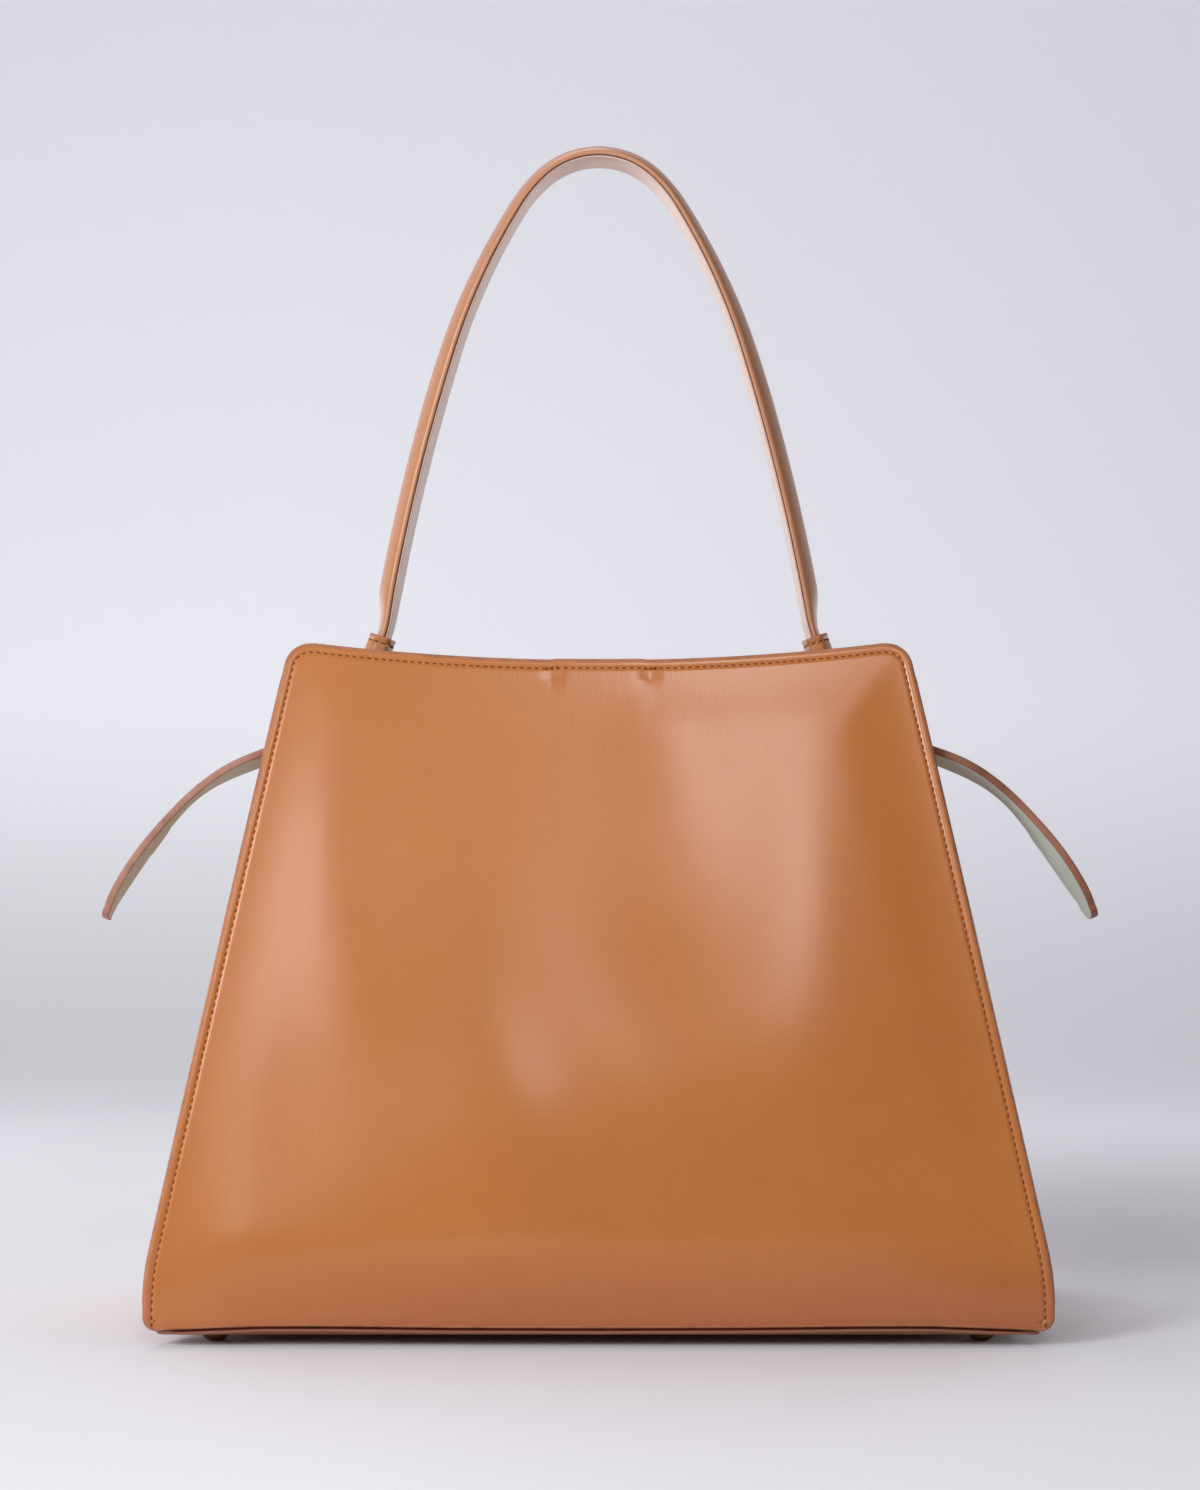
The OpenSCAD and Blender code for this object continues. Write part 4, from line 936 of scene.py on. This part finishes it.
def collar_ring(grow, n=8):
    """Outline of a collar, grown out from its inner face, as (height, y)."""
    r, big = 0.3 + grow, CROWN_R + 0.1 + grow
    yc, low_c = 14.3, -1.4
    mid = CROWN - CROWN_R
    high_c = math.sqrt((CROWN_R + 0.1 - 0.3) ** 2 - yc * yc) + mid
    turn = math.atan2(yc, high_c - mid) / RAD
    pts = [(low_c + r * math.cos(t * RAD), yc + r * math.sin(t * RAD)) for t in np.linspace(180, 90, n)]
    pts += [(high_c + r * math.cos(t * RAD), yc + r * math.sin(t * RAD)) for t in np.linspace(90, turn, n)]
    pts += [(mid + big * math.cos(t * RAD), big * math.sin(t * RAD)) for t in np.linspace(turn, -turn, 19)[1:-1]]
    pts += [(h, -y) for h, y in pts[2 * n - 1::-1]]
    pts += [(low_c - r, y) for y in np.linspace(-yc, yc, 13)[1:-1]]
    return np.array(pts)


for side, word in ((-1, "left"), (1, "right")):
    a = END[2] * RAD
    o = np.array([side * END[0], 0, END[1]])
    down = np.array([side * math.cos(a), 0, -math.sin(a)])
    out = np.array([side * math.sin(a), 0, math.cos(a)])
    ey = np.array([0, 1.0, 0])

    def at_collar(along, grow):
        shape = collar_ring(grow)
        return [o + down * along + out * h + ey * y for h, y in shape]

    outer = [(26, 1.0), (26, 1.7), (25.7, 2.0), (20, 2.02), (12, 2.0), (6, 2.05), (4.2, 2.0), (3.4, 1.82), (2.8, 1.68),
             (2.2, 1.8), (1.5, 2.05), (0.9, 2.12)]
    rim = [(0.9, 2.12), (0.4, 2.02), (0.1, 1.75), (0.0, 1.3), (0.0, 0.8), (0.15, 0.35), (0.5, 0.12)]
    inner = [(0.5, 0.12), (2, 0.05), (10, 0.0), (25.8, 0.0), (26, 1.0)]
    parts = [loft([at_collar(s, g) for s, g in run], mat, caps=False, flip=side < 0)
             for run, mat in ((outer, TAN_PATCH), (rim, EDGE), (inner, DARK))]
    line = np.array(at_collar(2.8, 1.7))
    line = np.vstack([line, line[:1]])
    middle = o + down * 2.8 + out * 1.6
    ups = line - np.column_stack([np.full(len(line), middle[0]), line[:, 1] * 0.8, np.full(len(line), middle[2])])
    parts += stitches(line, ups, np.tile(down, (len(line), 1)), pitch=3.0, size=0.95, slant=10, lift=0.08)
    piece(f"{word}_collar_leather", parts, "handle", "leather_tan", f"{word}_handle_collar")


# ---------------------------------------------------------------- wings
WING_L = sum(r * abs(t) * RAD for r, t in WING_ARCS)


def plan_share(u):
    n = len(WING_PLAN)
    def slope(i):
        if i in (0, n - 1):
            return 0
        return (WING_PLAN[i + 1][1] - WING_PLAN[i - 1][1]) / (WING_PLAN[i + 1][0] - WING_PLAN[i - 1][0])
    i = max(k for k in range(n - 1) if u >= WING_PLAN[k][0] or k == 0)
    (a, fa), (b, fb) = WING_PLAN[i], WING_PLAN[i + 1]
    h, t = b - a, (u - a) / (b - a)
    return (fa * (2 * t ** 3 - 3 * t * t + 1) + fb * (3 * t * t - 2 * t ** 3)
            + h * slope(i) * (t ** 3 - 2 * t * t + t) + h * slope(i + 1) * (t ** 3 - t * t))


def wing_width(s):
    u = s / WING_L
    if u > 0.955:
        k = (u - 0.955) / 0.045
        return WING_HALF * plan_share(0.955) * math.sqrt(max(1 - k * k, 0.0))
    return WING_HALF * plan_share(u)


def wing_rows():
    return np.concatenate([np.linspace(0, 14, 12), np.linspace(14, WING_L * 0.955, 74)[1:],
                           WING_L * (0.955 + 0.045 * np.sin(np.linspace(0, 90, 14)[1:] * RAD))])


def wing_point(side, s, y, depth):
    """The two wings don't hang quite alike: the left one is flatter, and the right one stands a little higher."""
    w = max(wing_width(s), 0.02)
    full = min(s / PARED_L, 1)
    hollow = full * w * w / (2 * WING_CUP) * (1 - min(abs(y) / w, 1) ** 2) * (1.35 if side > 0 else 1.3)
    x, z, a = along_arcs(WING_START, WING_ARCS, s)
    d = depth + hollow - (1.4 if side > 0 else 0.1) * float(smooth(0.04, 0.4, s / WING_L))
    d -= (0.0 if side > 0 else 0.062) * (y + w) * float(smooth(0.25, 0.6, s / WING_L))
    return [side * (x - d * math.sin(a * RAD)), y, z - d * math.cos(a * RAD)]


def pared(t, s):
    return PARED_T + (t - PARED_T) * min(s / PARED_L, 1)


def wing_leather(side):
    """Upper leather, with the edge paint wrapped over both layers."""
    face, rim, under = [], [], []
    # The right wing's edge gets the darker copy of the paint: painted shade.
    paint = WING_EDGE if side < 0 else WING_EDGE_PAINTED_SHADE
    share = np.sin(np.linspace(-90, 90, 19) * RAD)
    for s in wing_rows():
        w = wing_width(s)
        edge = min(0.45, 0.4 * w)
        lip = min(1.1, 0.5 * w)
        t, full = pared(WING_T, s), pared(WING_T, s) + GLUE + pared(WING_LINING_T, s)
        face.append([wing_point(side, s, (w - edge) * k, 0.0) for k in share])
        for sign, store in ((1, 0), (-1, 1)):
            run = [wing_point(side, s, sign * (w - edge), 0.0)]
            for a in np.linspace(60, -60, 6):
                run.append(wing_point(side, s, sign * (w - edge + edge * math.cos(a * RAD)),
                                      full / 2 - (full / 2 + 0.45 * min(s / PARED_L, 1)) * math.sin(a * RAD)))
            run += [wing_point(side, s, sign * (w - edge), full), wing_point(side, s, sign * (w - lip), full - 0.05),
                    wing_point(side, s, sign * (w - lip), t)]
            rim.append((store, run))
        under.append([wing_point(side, s, (w - lip) * k, t) for k in share])
    parts = [(np.array(face).reshape(-1, 3), quads(len(face), len(share), flip=side < 0), TAN)]
    for store in (0, 1):
        runs = [run for kind, run in rim if kind == store]
        parts.append((np.array(runs).reshape(-1, 3), quads(len(runs), len(runs[0]), flip=(side < 0) == (store == 0)), paint))
    parts.append((np.array(under).reshape(-1, 3), quads(len(under), len(share), flip=side > 0), DARK))
    root = [face[0][0]] + [p for kind, p in ((k, q) for k, q in enumerate(face[0]))] + [under[0][-1]] + under[0][::-1]
    parts.append((root, [list(range(len(root)))], paint))
    return parts


def wing_under(side):
    """The lining, set in between the edges, with the magnet's soft imprint."""
    rings = []
    share = np.sin(np.linspace(-90, 90, 17) * RAD)
    for s in wing_rows():
        w = wing_width(s)
        inner = max(w - min(1.25, 0.55 * w), 0.01)
        top = pared(WING_T, s) + GLUE * 0.5
        full = pared(WING_T, s) + GLUE + pared(WING_LINING_T, s)
        low = []
        for k in share:
            y = inner * k
            r = math.hypot(s - MAGNET_REACH, y)
            mark = 0.42 * float(1 - smooth(5.2, 8.4, r)) - 0.12 * float(bump(r, 8.6, 1.2))
            soft = 0.22 * (1 - abs(k) ** 6) - 0.1
            low.append(wing_point(side, s, y, full + soft + mark))
        up = [wing_point(side, s, inner * k, top) for k in share[::-1]]
        rings.append(low + up)
    return [loft(rings, WING_SAGE_PAINTED_LIGHT, flip=side > 0)]


def wing_magnet(side):
    """The wing's magnet, bent with the leather as it hangs so that it stays covered."""
    rings = []
    for r, depth in ((0.03, 1.05), (6.4, 1.05), (6.5, 1.15), (6.5, 1.95), (6.4, 2.05), (0.03, 2.05)):
        rings.append([wing_point(side, MAGNET_REACH + r * math.cos(t), r * math.sin(t), depth)
                      for t in np.linspace(0, 2 * math.pi, 33)[:-1]])
    return [loft(rings, STEEL, flip=side < 0)]


for side, word in ((-1, "left"), (1, "right")):
    piece(f"{word}_wing_magnet_disc", wing_magnet(side), f"{word}_wing", "steel", f"{word}_wing_magnet")
    piece(f"{word}_wing_leather", wing_leather(side), f"{word}_wing", "leather_tan", f"{word}_wing")
    piece(f"{word}_wing_suede", wing_under(side), f"{word}_wing", "wing_sage", f"{word}_wing_lining")


# ---------------------------------------------------------------- inner closure
def tab_outline(root, end, inset=0.0):
    """A tab square at its root and rounded at its free end, seen from above."""
    way = 1 if end > root else -1
    half, r = TAB_W / 2 - inset, TAB_R - inset
    tip = end - way * inset
    pts = [[-half, root + way * inset], [half, root + way * inset]]
    pts += [[half - r + r * math.cos(t * RAD), tip - way * r + way * r * math.sin(t * RAD)] for t in np.linspace(0, 90, 8)]
    pts += [[-half + r - r * math.cos(t * RAD), tip - way * r + way * r * math.sin(t * RAD)] for t in np.linspace(90, 0, 8)]
    return np.array(pts)


def tab_layer(root, end, top, t, mat, rim_mat):
    rings = []
    for inset, h in ((14, 0), (6, 0), (1.0, 0.0), (0.3, 0.1), (0.0, 0.5), (0.3, 0.9), (1.0, 1.0), (6, 1), (14, 1)):
        pts = tab_outline(root, end, min(inset, 7.5)) if inset < 14 else None
        if pts is None:
            base = tab_outline(root, end, 7.5)
            pts = base.mean(0) + (base - base.mean(0)) * 0.3
        rings.append(np.column_stack([pts, np.full(len(pts), top - t + t * h)]))
    way = end < root
    return [loft(rings[:3], mat, caps=False, flip=not way), loft(rings[2:7], rim_mat, caps=False, flip=not way),
            loft(rings[6:], mat, caps=False, flip=not way),
            (rings[0], [list(range(len(rings[0])))], mat), (rings[-1], [list(range(len(rings[0])))], mat)]


for word, root, end, top, body in (("front", FRONT_ROOT, TAB_OVER, TAB_Z, "closure_front"),
                                   ("back", BACK_ROOT, -TAB_OVER, BACK_TAB_Z, "closure_back")):
    leather_parts = tab_layer(root, end, top, TAB_T, TAN_PATCH, EDGE)
    path = tab_outline(root, end, 2.4)
    path = np.vstack([path[1:], path[:1]])
    run = np.column_stack([path, np.full(len(path), top)])
    middle = np.array([0, (root + end) / 2, top])
    leather_parts += stitches(run, np.tile([0, 0, 1], (len(run), 1)), middle - run, size=0.8, slant=10, lift=-0.02)
    piece(f"closure_{word}_leather", leather_parts, body, "leather_tan", f"closure_tab_{word}", outward=True)
    piece(f"closure_{word}_cloth", tab_layer(root, end, top - TAB_T - 0.5, TAB_LINING_T, SAGE, SAGE), body,
          "lining_sage", f"closure_tab_{word}_lining", outward=True)


# ---------------------------------------------------------------- turned metal parts
def lathe(profile, origin, axis, side_dir, mat, n=40):
    """A closed turned piece from (radius, height) pairs, both ends on the axis."""
    origin, axis, u = np.array(origin, float), unit(np.array(axis, float)), unit(np.array(side_dir, float))
    v = np.cross(axis, u)
    rings = []
    for r, h in profile:
        rings.append([origin + axis * h + (u * math.cos(t) + v * math.sin(t)) * max(r, 0.02)
                      for t in np.linspace(0, 2 * math.pi, n + 1)[:-1]])
    return loft(rings, mat, flip=False)


for word, x, y in (("front_left", -1, -1), ("front_right", 1, -1), ("back_left", -1, 1), ("back_right", 1, 1)):
    dome = [(0, 0.0), (2.6, 0.02), (3.6, 0.25), (4.5, 0.85), (5.25, 1.75), (5.75, 2.8), (5.95, 3.7), (6.0, 4.35),
            (5.9, 4.62), (5.6, 4.75), (5.2, 4.82), (1.5, 4.84), (1.5, 9.8), (0, 9.8)]
    piece(f"foot_dome_{word}", [lathe(dome, (x * FOOT[0], y * FOOT[1], 0), (0, 0, 1), (1, 0, 0), BRASS)], "bag",
          "dull_brass", f"foot_{word}")
for node, mat in (("left_handle_rivet", BRASS), ("right_handle_rivet", BRASS), ("snap_stud", BRASS), ("snap_socket", BRASS),
                  ("foot_washers", STEEL), ("left_gusset_magnet", STEEL), ("right_gusset_magnet", STEEL),
                  ("snap_stud_washer", STEEL),
                  ("snap_socket_washer", STEEL), ("front_stiffener", KRAFT), ("back_stiffener", KRAFT),
                  ("base_board", KRAFT)):
    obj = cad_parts[node]
    for s in obj.material_slots:
        s.material = mat
    if not obj.material_slots:
        obj.data.materials.append(mat)


# ---------------------------------------------------------------- stage, lights and camera
def backdrop_material():
    m = Nodes("backdrop_paper")
    split = m.add("ShaderNodeSeparateXYZ", {"Vector": m.place})
    # Painted shade: the backdrop's colour runs from lighter on the left to darker on the right, as the key light falls
    # off.
    across = m.spread(split.outputs["X"], 0.0, 1.0, -0.3, 1.0)
    height = m.spread(split.outputs["Z"], 0.0, 1.0, 0.2, 1.4)
    base = m.mix(across, srgb(229, 229, 236), srgb(214, 213, 221))
    base = m.mix(height, base, srgb(212, 211, 219))
    grain = m.noise(3.0, 2)
    base = m.mix(m.spread(grain, 0, 0.04, 0.3, 0.7), base, srgb(205, 205, 212))
    m.set(Base_Color=base, Roughness=0.95, Specular_IOR_Level=0.05)
    rays = m.add("ShaderNodeLightPath").outputs
    seen = m.add("ShaderNodeMath", {0: rays["Is Camera Ray"], 1: rays["Is Glossy Ray"]}, operation="MAXIMUM").outputs[0]
    seen = m.add("ShaderNodeMath", {0: seen, 1: rays["Is Transmission Ray"]}, operation="MAXIMUM").outputs[0]
    far = m.add("ShaderNodeMapRange", {"Value": split.outputs["Y"], "From Min": 0.15, "From Max": 0.9,
                                       "To Min": GLOW[0], "To Max": GLOW[1]}, interpolation_type="SMOOTHSTEP").outputs[0]
    rise = m.add("ShaderNodeMapRange", {"Value": split.outputs["Z"], "From Min": 0.0, "From Max": 0.3,
                                        "To Min": 0.0, "To Max": GLOW[2]}, interpolation_type="SMOOTHSTEP").outputs[0]
    glow = m.add("ShaderNodeMath", {0: far, 1: rise}, operation="ADD").outputs[0]
    # Painted shadow of the bag on the floor to its right and behind it.
    painted_shade = m.add("ShaderNodeMath", {0: m.spread(split.outputs["X"], 0, 0.22, -0.05, 0.25),
                                   1: m.spread(split.outputs["Y"], 0, 1, 0.0, 0.16)}, operation="MULTIPLY").outputs[0]
    painted_shade = m.add("ShaderNodeMath", {0: painted_shade, 1: m.spread(split.outputs["Y"], 1, 0, 0.25, 0.7)}, operation="MULTIPLY").outputs[0]
    glow = m.add("ShaderNodeMath", {0: glow, 1: painted_shade}, operation="SUBTRACT").outputs[0]
    # Painted shade low on the left of the backdrop.
    painted_shade = m.add("ShaderNodeMath", {0: m.spread(split.outputs["X"], 0.1, 0, -0.3, -0.08),
                                   1: m.spread(split.outputs["Z"], 1, 0, 0.02, 0.3)}, operation="MULTIPLY").outputs[0]
    glow = m.add("ShaderNodeMath", {0: glow, 1: painted_shade}, operation="SUBTRACT").outputs[0]
    near = m.add("ShaderNodeAmbientOcclusion", {"Distance": 0.35}, samples=8).outputs["AO"]
    near = m.add("ShaderNodeMath", {0: near, 1: 1.4}, operation="POWER").outputs[0]
    glow = m.add("ShaderNodeMath", {0: glow, 1: near}, operation="MULTIPLY").outputs[0]
    strength = m.add("ShaderNodeMath", {0: seen, 1: glow}, operation="MULTIPLY").outputs[0]
    m.set(Emission_Color=base, Emission_Strength=strength)
    return m.material


GLOW = (0.3, 0.34, 0.24)
verts, faces = [], []
profile = [(-3.2, 0.0), (-1.0, 0.0), (0.0, 0.0), (0.8, 0.0)]
profile += [(0.8 + 1.2 * math.sin(t), 1.2 - 1.2 * math.cos(t)) for t in np.linspace(0, math.pi / 2, 24)[1:]]
profile += [(2.0, 2.4), (2.0, 4.0)]
for y, z in profile:
    verts += [(-4.0, y, z), (4.0, y, z)]
for i in range(len(profile) - 1):
    faces.append((2 * i, 2 * i + 1, 2 * i + 3, 2 * i + 2))
mesh = bpy.data.meshes.new("backdrop")
mesh.from_pydata(verts, [], faces)
mesh.polygons.foreach_set("use_smooth", [True] * len(faces))
mesh.materials.append(backdrop_material())
mesh.update()
backdrop = bpy.data.objects.new("backdrop", mesh)
bpy.context.scene.collection.objects.link(backdrop)


def area(name, place, target, size, size_y, power, colour=(1, 1, 1)):
    lamp = bpy.data.lights.new(name, "AREA")
    lamp.shape, lamp.size, lamp.size_y, lamp.energy, lamp.color = "RECTANGLE", size, size_y, power, colour
    obj = bpy.data.objects.new(name, lamp)
    bpy.context.scene.collection.objects.link(obj)
    obj.location = place
    obj.rotation_euler = (Vector(target) - Vector(place)).to_track_quat("-Z", "Y").to_euler()
    return obj


area("key_softbox", (-1.17, -1.18, 0.82), (0, 0, 0.16), 0.6, 0.6, 17.6)
area("front_softbox", (0.14, -1.84, 1.25), (0, 0, 0.18), 0.20, 0.99, 6.2)
area("strip_softbox", (-0.57, -1.74, 0.84), (0, 0, 0.16), 0.25, 0.7, 3.6)
area("top_softbox", (-0.3, 0.45, 1.9), (0, 0, 0.1), 1.2, 1.0, 9)
for side, power in ((-1, 1.7), (1, 1.3)):
    kick = area("low_kicker", (side * 0.8, 0.9, 0.17), (-side * 0.1, 0, 0.5), 0.6, 0.16, power)
    kick.visible_camera = False
    kick.data.spread = math.pi / 2

world = bpy.data.worlds.new("studio")
bpy.context.scene.world = world
world.use_nodes = True
sky = world.node_tree.nodes["Background"]
sky.inputs["Color"].default_value = (0.94, 0.95, 1.0, 1)
sky.inputs["Strength"].default_value = 0.1

lens = bpy.data.cameras.new("photo_camera")
lens.sensor_fit = "VERTICAL"
lens.sensor_height = 24
lens.lens = 53.03
camera = bpy.data.objects.new("photo_camera", lens)
bpy.context.scene.collection.objects.link(camera)
camera.location = (0.0006, -1.430, 0.2473)
camera.rotation_euler = (math.pi / 2, 0, 0)
bpy.context.scene.camera = camera
bpy.context.scene.view_settings.view_transform = "Standard"
